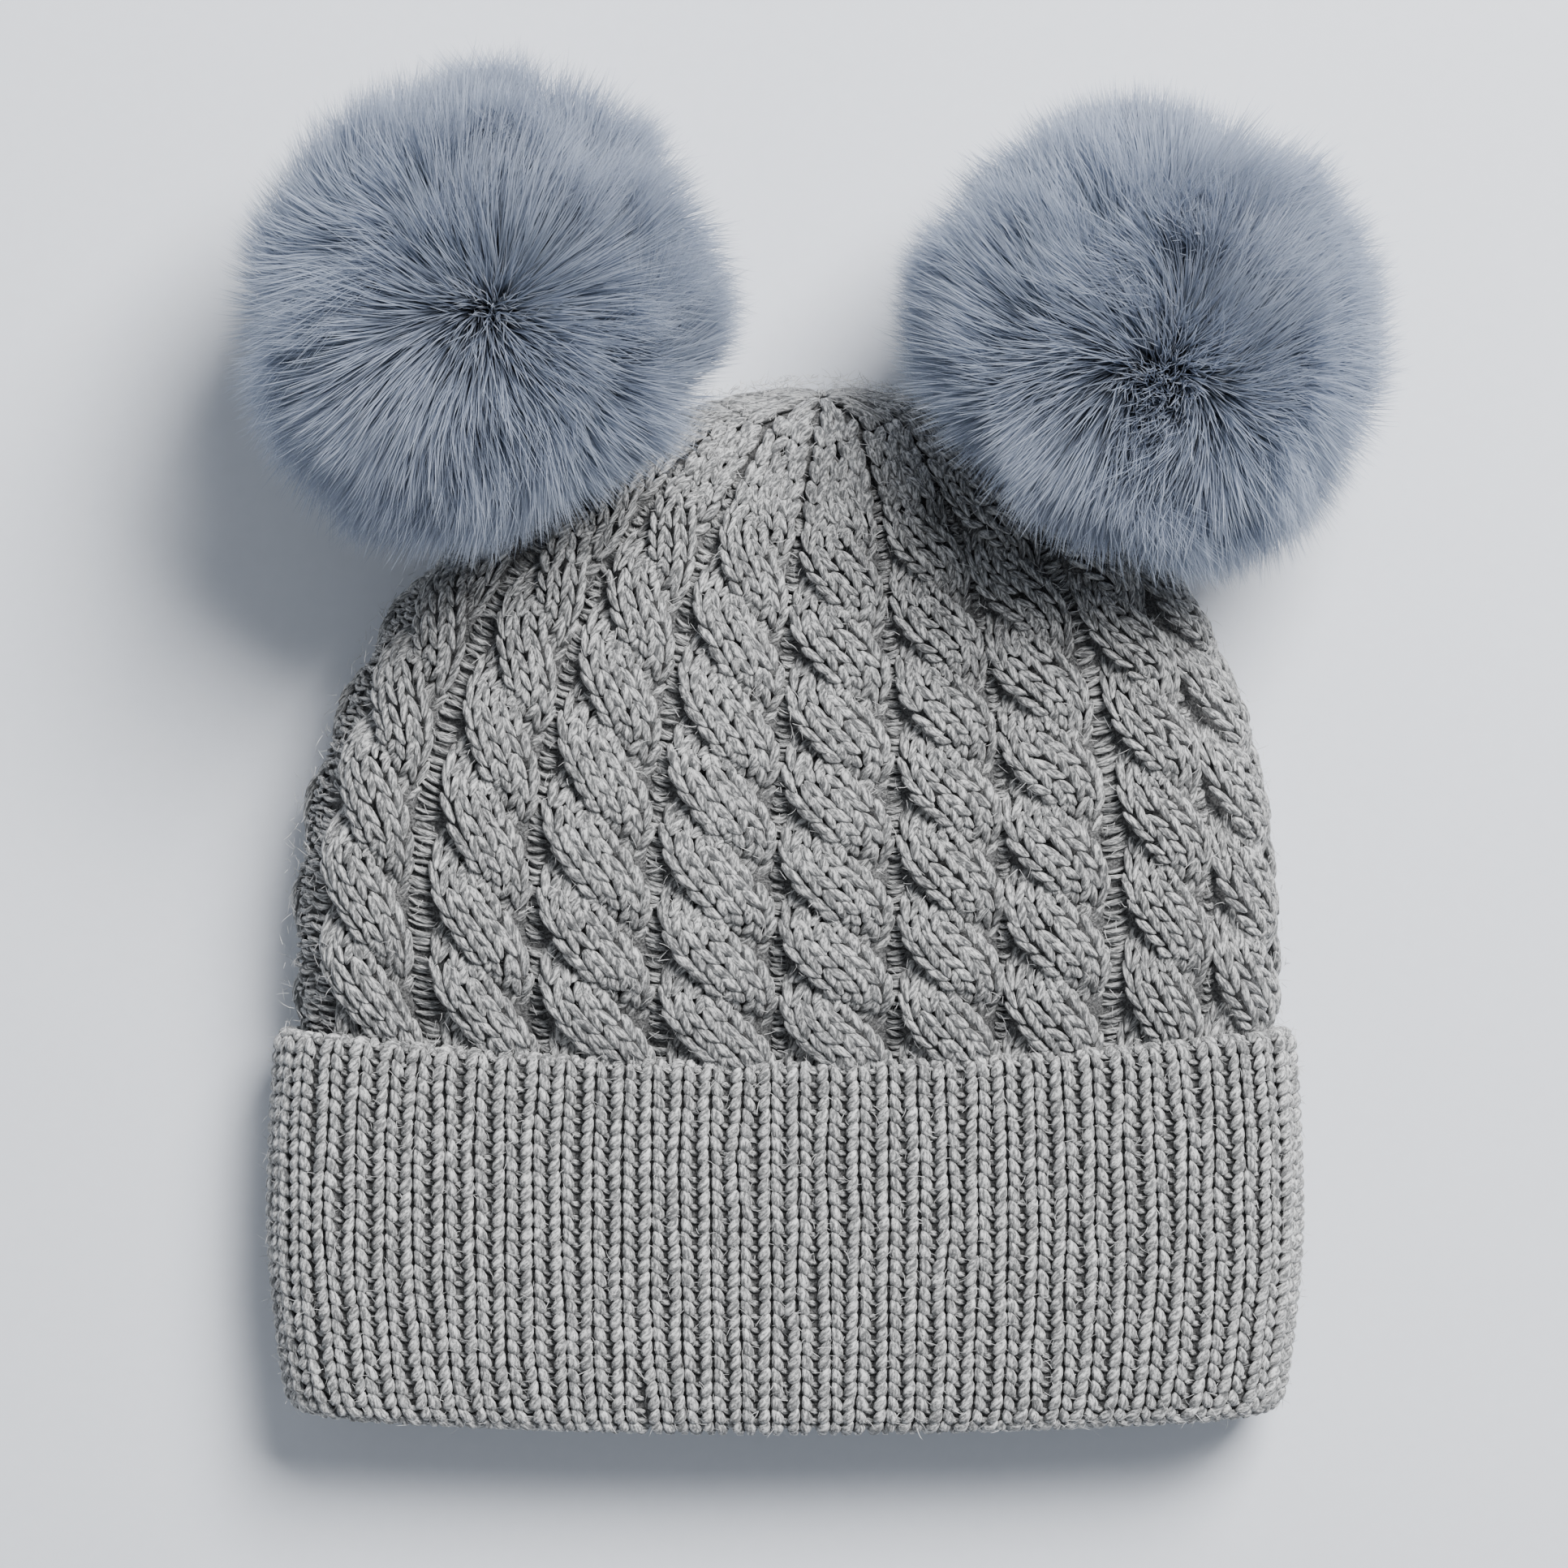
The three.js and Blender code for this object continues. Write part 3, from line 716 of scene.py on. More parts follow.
def cable_fabric():
    """The two strands of each cable, each of several columns of stitches, where they come to the front."""
    rng = np.random.default_rng(71)
    rows_each = 2 * LOBE_ROWS
    cables, lobes, rows, columns = (x.ravel() for x in np.meshgrid(
        np.arange(len(CABLES)), np.arange(-1, LOBES + 1), np.arange(rows_each),
        np.arange(STRAND_COLUMNS), indexing="ij"))
    turn = -1 + (rows + 0.5) * 2 / rows_each
    way = CABLES_START + (lobes + turn) * LOBE_WAY
    kept = (np.abs(turn) < 0.84) & (way > CABLES_START - 0.3 * LOBE_WAY) & (way < 1.0)
    room = crown_skin.width(CABLES[cables], way) * CABLE_SHARES[cables] / CABLE_PITCH
    held = np.where(room > 0.6, STRAND_COLUMNS, STRAND_COLUMNS - 1)
    kept &= columns < held
    cables, lobes, columns, turn, held = (x[kept] for x in (cables, lobes, columns, turn, held))
    step = 2 / rows_each
    spacing = 1.96 / held
    middle = (columns - (held - 1) / 2) * spacing
    pieces = []
    for hand in (-1, 1):
        outer = middle + hand * 0.45 * spacing + rng.normal(0, 0.025, len(turn))
        inner = middle + hand * 0.07 * spacing + rng.normal(0, 0.025, len(turn))
        slip = rng.normal(0, 0.08 * step, len(turn))
        start = crown_point(cables, lobes, outer, turn - 0.70 * step + slip, -0.4)
        end = crown_point(cables, lobes, inner, turn + 0.74 * step + slip, 0.3)
        share, where, _ = strand_place(cables, lobes, middle, turn)
        beside = (crown_point(cables, lobes, middle + 0.1, turn)
                  - crown_point(cables, lobes, middle - 0.1, turn))
        along = (crown_point(cables, lobes, middle, turn + 0.05)
                 - crown_point(cables, lobes, middle, turn - 0.05))
        normal = unit(np.cross(along, beside))
        pitch = crown_skin.width(share, where) * CABLE_SHARES[cables] / CABLE_PITCH
        width = 2.35 * np.clip(pitch * 3 / held, 0.55, 1.1) * rng.uniform(0.88, 1.12, len(turn))
        for half, half_name in enumerate(("front", "back")):
            chosen = (cables < len(FRONT_CABLES)) == (half == 0)
            name = f"cable_{half_name}_{'left' if hand < 0 else 'right'}_legs"
            pieces.append(yarn_legs(
                name, start[chosen], end[chosen], normal[chosen], width[chosen], 2.2, CABLE_YARN,
                101 + half * 7 + hand, arch=0.4, bow=-hand * 0.15, fat=-0.15))
    return pieces


def gutter_fabric():
    """The purl ladders between the cables, and the wide purl strip down the wearer's side."""
    rng = np.random.default_rng(83)
    start, end, normal = [], [], []
    gaps = np.diff(np.concatenate([CABLES, [CABLES[0] + 1]]))
    rows = int(LOBES * LOBE_ROWS * 1.5)
    ways = CABLES_START + (np.arange(rows) + 0.5) / rows * (1 - CABLES_START)
    for i, gap in enumerate(gaps):
        left = CABLES[i] + CABLE_SHARES[i] * 0.46
        right = CABLES[i] + gap - CABLE_SHARES[(i + 1) % len(CABLES)] * 0.46
        count = max(1, int(round((right - left) * CROWN_ROUND / LADDER_SPACING)))
        for j in range(count):
            low = left + (right - left) * j / count
            high = left + (right - left) * (j + 1) / count
            for layer in range(2):
                shift = rng.normal(0, 0.003, (2, rows)) + (0.5 * ((j + layer) % 2) / rows)
                lift = rng.normal(-2.3 - 0.6 * layer, 0.4, rows) + (1.2 if count > 2 else 0.0)
                start.append(crown_skin.point(low - 0.0016 + 0 * ways, ways + shift[0], lift))
                end.append(crown_skin.point(high + 0.0016 + 0 * ways, ways + shift[1], lift))
                normal.append(crown_skin.normal_at((low + high) / 2 + 0 * ways, ways))
    start, end, normal = np.vstack(start), np.vstack(end), np.vstack(normal)
    bow = rng.normal(0.35, 0.35, len(start))
    width = rng.uniform(0.8, 1.6, len(start))
    return yarn_legs("purl_ladders", start, end, normal, width, 1.3, CABLE_YARN, 84, arch=0.7, bow=bow)


# From the gather down: where a band of plain columns begins and ends, its columns to a cable, its rows.
FAN_BANDS = [
    (0.004, 0.044, 1, 0.040),
    (0.034, 0.074, 1, 0.040),
    (0.066, 0.124, 2, 0.029),
    (0.118, CABLES_START + 0.02, 3, 0.028),
]


def fan_fabric():
    """The plain columns that run from the gather down to where the crossings begin."""
    rng = np.random.default_rng(97)
    starts, ends, normals, widths = [], [], [], []
    for begin, finish, columns, step in FAN_BANDS:
        rows = int(round((finish - begin) / step))
        cable, row, column = (x.ravel() for x in np.meshgrid(
            np.arange(len(CABLES)), np.arange(rows), np.arange(columns), indexing="ij"))
        top = begin + row * step
        pitch = CABLE_SHARES[cable] / columns * 0.97
        centre = CABLES[cable] + (column - (columns - 1) / 2) * pitch
        reach = 1.7 if columns == 1 else 1.3
        for hand in (-1, 1):
            outer = centre + hand * 0.36 * pitch + rng.normal(0, 0.0005, len(row))
            inner = centre + hand * 0.08 * pitch + rng.normal(0, 0.0005, len(row))
            high = np.full(len(row), 0.2)
            starts.append(crown_skin.point(outer, top, high - 0.6))
            ends.append(crown_skin.point(inner, top + step * reach, high + 0.5))
            normals.append(crown_skin.normal_at(centre, top + step / 2))
            local = crown_skin.width(centre, top + step / 2) * pitch
            widths.append(np.clip(local * 0.58, 1.5, 2.9))
    return yarn_legs("gathered_columns", np.vstack(starts), np.vstack(ends), np.vstack(normals),
                     np.concatenate(widths), 2.4, CABLE_YARN, 98)


def crown_relief(share, way):
    """The fabric below the stitches follows the cables, low in the gutters."""
    turns = (way - CABLES_START) / LOBE_WAY
    lowest = np.full(share.shape, -2.6)
    for cable, wide in zip(CABLES, CABLE_SHARES):
        away = (share - cable + 0.5) % 1.0 - 0.5
        across = np.clip(np.abs(away) / wide / 0.47, 0, 1)
        lowest = np.maximum(lowest, -2.6 + 1.3 * np.sqrt(np.clip(1 - across**2, 0, 1)))
    opened = smooth(turns + 0.5)
    return np.where(opened > 0, lowest, -1.6)


def lining_relief(share, way):
    return np.full(share.shape, -4.4)


for piece in [*cable_fabric(), gutter_fabric(), fan_fabric()]:
    placed(piece, "hat")
# The crown's backing and its inner side are painted shade in near-black yarn: the shade in the gutters,
# between the stitches and inside the hat.
placed(surface_piece("crown_fabric", crown_skin, PAINTED_SHADE_YARN, 540, 160, crown_relief, (0.004, 1.0)),
       "hat", "crown_shell")
placed(surface_piece("crown_lining_side", crown_skin, PAINTED_SHADE_YARN, 360, 80, lining_relief, (0.02, 1.0)),
       "hat")


# ---- the small pieces -------------------------------------------------------------------------------

def centre_line(node, axis, count):
    """The middle of a long CAD node at even places along an axis, in millimetres."""
    low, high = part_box(node)
    corners = np.array([v.co for v in frame["nodes"][node].data.vertices]) / MM
    place = corners[:, axis]
    edges = np.linspace(low[axis], high[axis], count + 1) / MM
    return np.array([corners[(place >= a) & (place <= b)].mean(0) for a, b in zip(edges, edges[1:])])


def along_path(path, spacing):
    """Even places along a path."""
    steps = np.linalg.norm(np.diff(path, axis=0), axis=-1)
    reach = np.concatenate([[0], np.cumsum(steps)])
    places = np.linspace(0, reach[-1], max(4, int(reach[-1] / spacing)))
    return np.stack([np.interp(places, reach, path[:, k]) for k in range(3)], -1)


def plied_cord(name, paths, radius, material, twist, closed, body, node, sides=8):
    """Two-ply cord along paths, each ply a round strand that winds round the other."""
    points, quads, tris, fibre = [], [], [], []
    first = 0
    angle = circle(sides)
    for path in paths:
        path = along_path(path, radius * 0.45)
        run = unit(np.gradient(path, axis=0))
        aside = unit(np.cross(run, np.array([0.31, 0.2, 0.93])))
        above = np.cross(aside, run)
        reach = np.concatenate([[0], np.cumsum(np.linalg.norm(np.diff(path, axis=0), axis=-1))])
        turns = twist * reach / reach[-1] * 2 * math.pi
        count = len(path)
        for ply in range(2):
            phase = turns + ply * math.pi
            from_end = np.minimum(reach, reach[-1] - reach)
            taper = np.ones(count) if closed else np.clip(from_end / radius, 0.15, 1) ** 0.5
            beside = aside * np.cos(phase)[:, None] + above * np.sin(phase)[:, None]
            middle = path + beside * radius * 0.45 * taper[:, None]
            ring = (aside[:, None] * np.cos(angle)[None, :, None]
                    + above[:, None] * np.sin(angle)[None, :, None])
            points.append((middle[:, None] + ring * radius * 0.58 * taper[:, None, None]).reshape(-1, 3))
            points.append(np.array([middle[0] - run[0] * 0.1, middle[-1] + run[-1] * 0.1]))
            index = first + np.arange(count * sides).reshape(count, sides)
            nxt = np.roll(index, -1, 1)
            quads.append(np.stack([index[:-1], nxt[:-1], nxt[1:], index[1:]], -1).reshape(-1, 4))
            start, stop = first + count * sides, first + count * sides + 1
            tris.append(np.stack([np.full(sides, start), nxt[0], index[0]], -1))
            tris.append(np.stack([np.full(sides, stop), index[-1], nxt[-1]], -1))
            first = stop + 1
            wound = angle[None] + phase[:, None] * 1.5
            drawn = np.broadcast_to(reach[:, None] * 0.25, wound.shape)
            strand = np.stack([np.cos(wound), np.sin(wound), drawn], -1).reshape(-1, 3)
            fibre.append(np.vstack([strand + 9 * ply, strand[:1], strand[-1:]]))
    points, quads, tris, fibre = (np.vstack(x) for x in (points, quads, tris, fibre))
    uv = flat_map(points[:, [0, 1]], np.concatenate([quads.ravel(), tris.ravel()]))
    piece = fill_mesh(name, points, quads, tris, uv, material, evenly_toned(fibre))
    placed(piece, body, node)


def felted(name, node, material, voxel, relief):
    """A soft piece with the outline of a CAD node: an even skin of small faces, rounded, then worked by
    relief(places)."""
    source = bpy.data.objects.new(name, frame["nodes"][node].data.copy())
    bpy.context.scene.collection.objects.link(source)
    remesh = source.modifiers.new("even", "REMESH")
    remesh.mode = "VOXEL"
    remesh.voxel_size = voxel * MM
    rounding = source.modifiers.new("round", "SMOOTH")
    rounding.factor, rounding.iterations = 0.5, 6
    evaluated = source.evaluated_get(bpy.context.evaluated_depsgraph_get())
    worked = bpy.data.meshes.new_from_object(evaluated)
    bpy.data.objects.remove(source)
    places = np.empty(len(worked.vertices) * 3, np.float32)
    normals = np.empty(len(worked.vertices) * 3, np.float32)
    worked.vertices.foreach_get("co", places)
    worked.vertices.foreach_get("normal", normals)
    places, normals = places.reshape(-1, 3) / MM, normals.reshape(-1, 3)
    places = places + normals * relief(places)[:, None]
    quads, tris = (np.array([f.vertices[:] for f in worked.polygons if len(f.vertices) == n], int)
                   .reshape(-1, n) for n in (4, 3))
    flat = places[:, [0, 2]] + normals[:, [0, 2]] * 0.01
    uv = flat_map(flat, np.concatenate([quads.ravel(), tris.ravel()]))
    piece = fill_mesh(name, places, quads, tris, uv, material, evenly_toned(places))
    placed(piece, frame["nodes"][node]["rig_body"], node)


CORNER_EASE = 0.22


def turned_piece(name, node, profile, origin, axis, sides=48):
    """A piece turned about a snap's axis, from its outline of radius and height, with eased corners."""
    outline = np.array(profile, float)
    eased = []
    for before, here, after in zip(np.roll(outline, 1, 0), outline, np.roll(outline, -1, 0)):
        if here[0] == 0:
            eased.append(here)
            continue
        for other in (before, after):
            reach = np.linalg.norm(other - here)
            eased.append(here + (other - here) * min(CORNER_EASE, 0.3 * reach) / max(reach, 1e-6))
    outline = np.array(eased)
    aside = unit(np.cross([0, 0, 1.0], axis))
    above = np.cross(aside, axis)
    angle = circle(sides)
    ring = aside[None] * np.cos(angle)[:, None] + above[None] * np.sin(angle)[:, None]
    points = origin + outline[:, 1][:, None, None] * axis + outline[:, 0][:, None, None] * ring[None]
    count = len(outline)
    index = np.arange(count * sides).reshape(count, sides)
    quads = []
    closed = not (outline[0, 0] == 0 and outline[-1, 0] == 0)
    for a in range(count if closed else count - 1):
        b = (a + 1) % count
        quads.append(np.stack([index[a], index[b], np.roll(index[b], -1), np.roll(index[a], -1)], -1))
    quads = np.vstack(quads)
    flat = points.reshape(-1, 3)
    plane = np.stack([flat @ aside, flat @ above], -1)
    uv = flat_map(plane, quads.ravel())
    piece = fill_mesh(name, flat, quads, NO_TRIS, uv, METAL, evenly_toned(flat))
    welded = bmesh.new()
    welded.from_mesh(piece.data)
    bmesh.ops.remove_doubles(welded, verts=welded.verts, dist=0.00001)
    bmesh.ops.recalc_face_normals(welded, faces=welded.faces)
    welded.to_mesh(piece.data)
    welded.free()
    placed(piece, frame["nodes"][node]["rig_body"], node)


def metal_material():
    """Nickel plate, turned and slightly worn."""
    material, tree, shader = new_material("nickel_plate", 0.3, metallic=1.0)
    fibre = value_from(tree, "fibre", "Vector")
    cloud = noise(tree, fibre, 0.9, 5.0, 0.65)
    plate = ramp(tree, cloud, [(0.3, (0.60, 0.61, 0.63)), (0.7, (0.78, 0.79, 0.80))])
    tree.links.new(plate, shader.inputs["Base Color"])
    rough = tree.nodes.new("ShaderNodeMapRange")
    rough.inputs["To Min"].default_value = 0.22
    rough.inputs["To Max"].default_value = 0.42
    tree.links.new(noise(tree, fibre, 3.0, 4.0), rough.inputs["Value"])
    tree.links.new(rough.outputs["Result"], shader.inputs["Roughness"])
    bump(tree, shader, noise(tree, fibre, 6.0, 3.0), 0.15, 0.00005)
    return material


def cloth_material(name, dark, light, scale, strength):
    material, tree, shader = new_material(name, 0.95, sheen=0.3)
    fibre = value_from(tree, "fibre", "Vector")
    flecks = noise(tree, fibre, scale, 5.0, 0.7)
    tree.links.new(ramp(tree, flecks, [(0.35, dark), (0.65, light)]), shader.inputs["Base Color"])
    bump(tree, shader, flecks, strength, 0.0003)
    return material


SEAM_YARN = yarn_material("seam_yarn", (0.13, 0.132, 0.135), (0.32, 0.323, 0.326), (0.66, 0.662, 0.66))
FELT = cloth_material("felt", (0.12, 0.128, 0.135), (0.27, 0.285, 0.30), 1.6, 0.9)
WEAVE = cloth_material("fur_backing_weave", (0.10, 0.12, 0.15), (0.22, 0.26, 0.32), 2.4, 0.6)
THREAD = yarn_material("sewing_thread", (0.05, 0.06, 0.075), (0.12, 0.14, 0.17), (0.26, 0.30, 0.36))
METAL = metal_material()

seam = centre_line("side_seam_ridge", 1, 24)
seam_path = along_path(seam, 2.7)
seam_run = np.gradient(seam_path, axis=0)
seam_side = unit(np.cross(seam_run, [1.0, 0, 0]))
seam_start, seam_end = [], []
for hand in (-1, 1):
    seam_start.append(seam_path - seam_run * 0.55 + seam_side * hand * 1.25)
    seam_end.append(seam_path + seam_run * 0.75 + seam_side * hand * 0.25)
seam_start, seam_end = np.vstack(seam_start), np.vstack(seam_end)
outward = np.tile([1.0, 0, 0], (len(seam_start), 1))
for piece_name, inward in (("side_seam_stitches", 0.5), ("side_seam_back", -0.6)):
    piece = yarn_legs(piece_name, seam_start + [inward, 0, 0], seam_end + [inward, 0, 0], outward,
                      1.6, 1.5, SEAM_YARN, 201, arch=0.2)
    placed(piece, "hat", "side_seam_ridge")

low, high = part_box("crown_draw_yarn")
ring_middle = np.array([(low.x + high.x) / 2 / MM, high.y / MM - 1.7, low.z / MM + 5.7])
turn = np.linspace(0, 2 * math.pi, 73)
ring_path = ring_middle + np.stack([4.6 * np.cos(turn), 0.5 * np.sin(3 * turn), 4.6 * np.sin(turn)], -1)
knot_turn = np.linspace(0, 2 * math.pi, 60)
knot_path = ring_middle + [0, -0.6, 4.6] + np.stack([
    1.2 * np.sin(knot_turn) + 0.3 * np.sin(2 * knot_turn), np.cos(2 * knot_turn),
    1.1 * np.sin(3 * knot_turn) * 0.8], -1)
fall = np.linspace(0, 1, 24)
tail_path = ring_middle + np.stack([
    0.5 * np.sin(4 * fall), -1.5 - 8.6 * fall, 4.8 - 0.6 * np.sin(3 * fall)], -1)
plied_cord("crown_draw_cord", [ring_path, knot_path, tail_path], 0.95, SEAM_YARN, 9, False, "hat",
           "crown_draw_yarn")

# The metal of a press snap: the piece, the CAD node it stands for, and its outline as radius and height
# along the snap.
SNAP_METAL = [
    ("cap", "snap_cap", [
        [0, 4.2], [4.2, 4.2], [5.0, 4.8], [5.0, 5.8], [2.0, 5.8], [2.0, 18.2], [0, 18.2]]),
    ("stud", "snap_stud", [
        [2.35, 14.9], [6.2, 14.9], [6.2, 16.1], [2.8, 16.1], [2.8, 17.0], [3.2, 17.7], [3.2, 18.5],
        [2.4, 19.3], [0, 19.3], [0, 18.5], [2.35, 18.5]]),
    ("socket_ring", "snap_socket", [
        [3.6, 16.6], [5.7, 16.6], [6.2, 17.1], [6.2, 20.6], [2.35, 20.6], [2.35, 19.8], [3.6, 19.8]]),
    ("socket_rivet", "socket_cap", [
        [0, 20.0], [2.0, 20.0], [2.0, 22.6], [5.5, 22.6], [5.5, 23.3], [4.7, 23.8], [0, 23.8]]),
]


def felt_relief(places):
    rng = np.random.default_rng(401)
    return 0.10 * waves(places, rng, 10, 0.9) + 0.05 * waves(places, rng, 10, 2.4)


for side, facts in POMPOMS.items():
    origin = np.array(facts["snap"])
    axis = unit(np.array(facts["centre"]) - origin)
    felted(f"{side}_felt_patch", f"{side}_stay_patch", FELT, 0.42, felt_relief)
    across = unit(np.cross([0, 0, 1.0], axis))
    upward = np.cross(across, axis)

    def weave_relief(places):
        u, v = (places - origin) @ across, (places - origin) @ upward
        return 0.10 * np.sin(u * 5.2) * np.sin(v * 5.2) + 0.03 * np.sin(u * 11)

    felted(f"{side}_woven_disc", f"{side}_base_disc", WEAVE, 0.36, weave_relief)
    turn = np.linspace(0, 2 * math.pi, 121)
    ring = np.cos(turn)[:, None] * across + np.sin(turn)[:, None] * upward
    thread_path = origin + axis * THREAD_HEIGHT + THREAD_RING * ring
    thread_path = thread_path + axis * (0.25 * np.sin(14 * turn))[:, None]
    plied_cord(f"{side}_gathering_thread", [thread_path], 0.62, THREAD, 24, True, f"{side}_socket",
               f"{side}_draw_thread")
    for piece_name, node, outline in SNAP_METAL:
        turned_piece(f"{side}_{piece_name}", f"{side}_{node}", outline, origin, axis)


# ---- loose fibres -----------------------------------------------------------------------------------

RIBBON_RINGS = 3
RIBBON = ribbon_template(RIBBON_RINGS)
FUZZ_HALF_WIDTH = 0.05


def ribbon_points(middles, face, halves):
    """Corners of ribbons along rows of middles, face to each side, ending in a tip."""
    points = []
    for middle, half in zip(middles[:-1], halves):
        points += [middle - face * half, middle + face * half]
    return np.stack([*points, middles[-1]], 1)


def fuzz(name, skin, count, low, high, body, seed, ways=(0.02, 0.98)):
    """Fine stray fibres that stand off the yarn."""
    rng = np.random.default_rng(seed)
    share, way = rng.uniform(-0.5, 0.5, count), rng.uniform(*ways, count)
    start = skin.point(share, way, rng.uniform(low, high, count))
    normal = skin.normal_at(share, way)
    sway = rng.normal(0, 1, (count, 3))
    heading = unit(sway - 0.7 * normal * np.sum(sway * normal, -1, keepdims=True) + 0.35 * normal)
    length = rng.uniform(1.4, 3.6, count)[:, None]
    curl = unit(np.cross(heading, normal)) * rng.normal(0, 0.35, (count, 1)) * length
    face = unit(np.cross(heading, rng.normal(0, 1, (count, 3))))
    middles = [start + heading * length * t + curl * t * t for t in (0.0, 0.33, 0.67, 1.0)]
    points = ribbon_points(middles, face, [FUZZ_HALF_WIDTH] * RIBBON_RINGS)
    fibre = np.broadcast_to(start[:, None], points.shape)
    shade = np.repeat(rng.uniform(0.4, 1, (count, 1)), points.shape[1], 1)
    piece = repeated(name, points, RIBBON, LOOSE_FIBRE, {"fibre": fibre, "shade": shade}, aspect=3.0)
    placed(piece, body)


LOOSE_FIBRE = yarn_material(
    "loose_fibre", (0.40, 0.402, 0.404), (0.60, 0.602, 0.604), (0.85, 0.852, 0.85))
fuzz("cuff_fuzz", cuff_skin, 9000, 0.3, 1.3, "cuff", 301, (0.02, 0.8))
fuzz("crown_fuzz", crown_skin, 12000, 0.5, 3.6, "hat", 302)


# ---- the pom poms -----------------------------------------------------------------------------------

def fur_material():
    material, tree, shader = new_material("faux_fur", 0.62, sheen=0.3)
    along = value_from(tree, "along")
    shade = value_from(tree, "shade")
    # Dark at the root to light at the tip: the darkening towards the root is painted shade, for the shade
    # deep among the hairs.
    colour = ramp(tree, along, [
        (0.0, (0.17, 0.20, 0.265)), (0.4, (0.28, 0.33, 0.42)),
        (0.75, (0.44, 0.495, 0.61)), (1.0, (0.60, 0.66, 0.77))])
    toned = ramp(tree, shade, [(0.0, (0.80, 0.81, 0.82)), (1.0, (1.0, 1.0, 1.0))])
    mixed = colour_mix(tree, 1.0, colour, toned, "MULTIPLY")
    tree.links.new(mixed, shader.inputs["Base Color"])
    through_light = tree.nodes.new("ShaderNodeBsdfTranslucent")
    tree.links.new(mixed, through_light.inputs["Color"])
    blend = tree.nodes.new("ShaderNodeMixShader")
    blend.inputs["Fac"].default_value = 0.38
    tree.links.new(shader.outputs["BSDF"], blend.inputs[1])
    tree.links.new(through_light.outputs["BSDF"], blend.inputs[2])
    output = [node for node in tree.nodes if node.type == "OUTPUT_MATERIAL"][0]
    tree.links.new(blend.outputs["Shader"], output.inputs["Surface"])
    return material


FUR = fur_material()


def sphere_directions(count, rng):
    z = rng.uniform(-1, 1, count)
    angle = rng.uniform(0, 2 * math.pi, count)
    flat = np.sqrt(1 - z * z)
    return np.stack([flat * np.cos(angle), flat * np.sin(angle), z], -1)


def nearest(points, centres):
    tree = kdtree.KDTree(len(centres))
    for i, centre in enumerate(centres):
        tree.insert(centre, i)
    tree.balance()
    return np.array([tree.find(p)[1] for p in points])


def hair_directions(directions, whorl, rng):
    """The lean of each hair: parted at the whorl, gathered in tufts and in locks, with a few strays."""
    tufts = sphere_directions(TUFTS, rng)
    locks = sphere_directions(LOCKS, rng)
    tuft = nearest(directions, tufts)
    lock = nearest(directions, locks)
    away = directions - whorl
    part = unit(away - directions * np.sum(away * directions, -1, keepdims=True))
    far = np.linalg.norm(away, axis=-1)
    near = smooth(far / 0.3) * np.exp(-((far / 1.15) ** 2))
    lean = 0.19 * part * near[:, None]
    lean = lean + 0.34 * (tufts[tuft] - directions) + 0.50 * (locks[lock] - directions)
    swirl = np.stack([waves(directions, rng, 5, 5.0) for _ in range(3)], -1)
    lean = lean + 0.19 * swirl + rng.normal(0, 0.06, directions.shape)
    tuft_tone = rng.uniform(0, 1, len(tufts))[tuft]
    lock_tone = rng.uniform(0, 1, len(locks))[lock]
    sunk = 0.07 * rng.uniform(0, 1, len(tufts))[tuft] + 0.06 * rng.uniform(0, 1, len(locks))[lock]
    return lean, sunk, 0.35 * tuft_tone + 0.35 * lock_tone + 0.3 * rng.uniform(0, 1, len(directions))


def pompom_fur(side, facts, seed):
    rng = np.random.default_rng(seed)
    centre = np.array(facts["centre"])
    radius = facts["radius"]
    snap = np.array(facts["snap"])
    axis = unit(centre - snap)
    reach = float(np.linalg.norm(centre - snap))
    whorl = unit(np.array(facts["whorl"]) - centre)
    count = HAIRS
    directions = sphere_directions(count, rng)
    lean, sunk, tone = hair_directions(directions, whorl, rng)
    tips = unit(directions + lean)
    layers = 0.5 + 0.5 * waves(directions, rng, 6, 3.2)
    under = rng.uniform(0, 1, count) < UNDERCOAT
    short = np.where(under, rng.uniform(0.06, 0.26, count), 0.09 * rng.uniform(0, 1, count) ** 1.3)
    span = radius * (FUR_REACH - 0.045 * smooth(layers) - sunk - short)
    drop = -(tips @ axis)
    out = np.sqrt(np.clip(1 - drop**2, 0, 1))
    downward = drop + out * BASE_SLOPE
    room = np.where(downward > 1e-3, (reach - PIVOT) / np.maximum(downward, 1e-3), 1e9)
    span = np.minimum(span, room * rng.uniform(0.94, 1.0, count))
    above_disc = (reach - THREAD_TOP - 0.6) / np.maximum(downward, 1e-3)
    over_disc = (drop > 0) & (above_disc * out < DISC_REACH)
    span = np.where(over_disc, np.minimum(span, above_disc), span)
    span = np.minimum(span, (centre[2] - 0.2) / np.maximum(-tips[:, 2], 1e-3))
    kept = span > radius * SHORTEST_HAIR
    directions, tips, span, tone = (x[kept] for x in (directions, tips, span, tone))
    count = len(span)
    root = HAIR_ROOT * radius
    face = unit(np.cross(tips, sphere_directions(count, rng)))
    ways = np.linspace(0, 1, RIBBON_RINGS + 1)
    middles = [centre + unit(directions * (1 - way) + tips * way) * (root + (span - root) * way)[:, None]
               for way in ways]
    points = ribbon_points(middles, face, [HAIR_HALF_WIDTH * (1 - 0.72 * way) for way in ways])
    along = np.tile(np.append(np.repeat(ways[:-1], 2), ways[-1]), (count, 1))
    shade = np.repeat(tone[:, None], along.shape[1], 1)
    aside = np.cross(axis, [0, 0, 1.0])
    around = np.arctan2(directions @ unit(aside), directions @ unit(np.cross(axis, aside)))
    third = np.clip(((around / (2 * math.pi) + 0.5) * 3).astype(int), 0, 2)
    return [repeated(f"{side}_fur_{part + 1}", points[third == part], RIBBON, FUR,
                     {"along": along[third == part], "shade": shade[third == part]}, aspect=3.0)
            for part in range(3)]


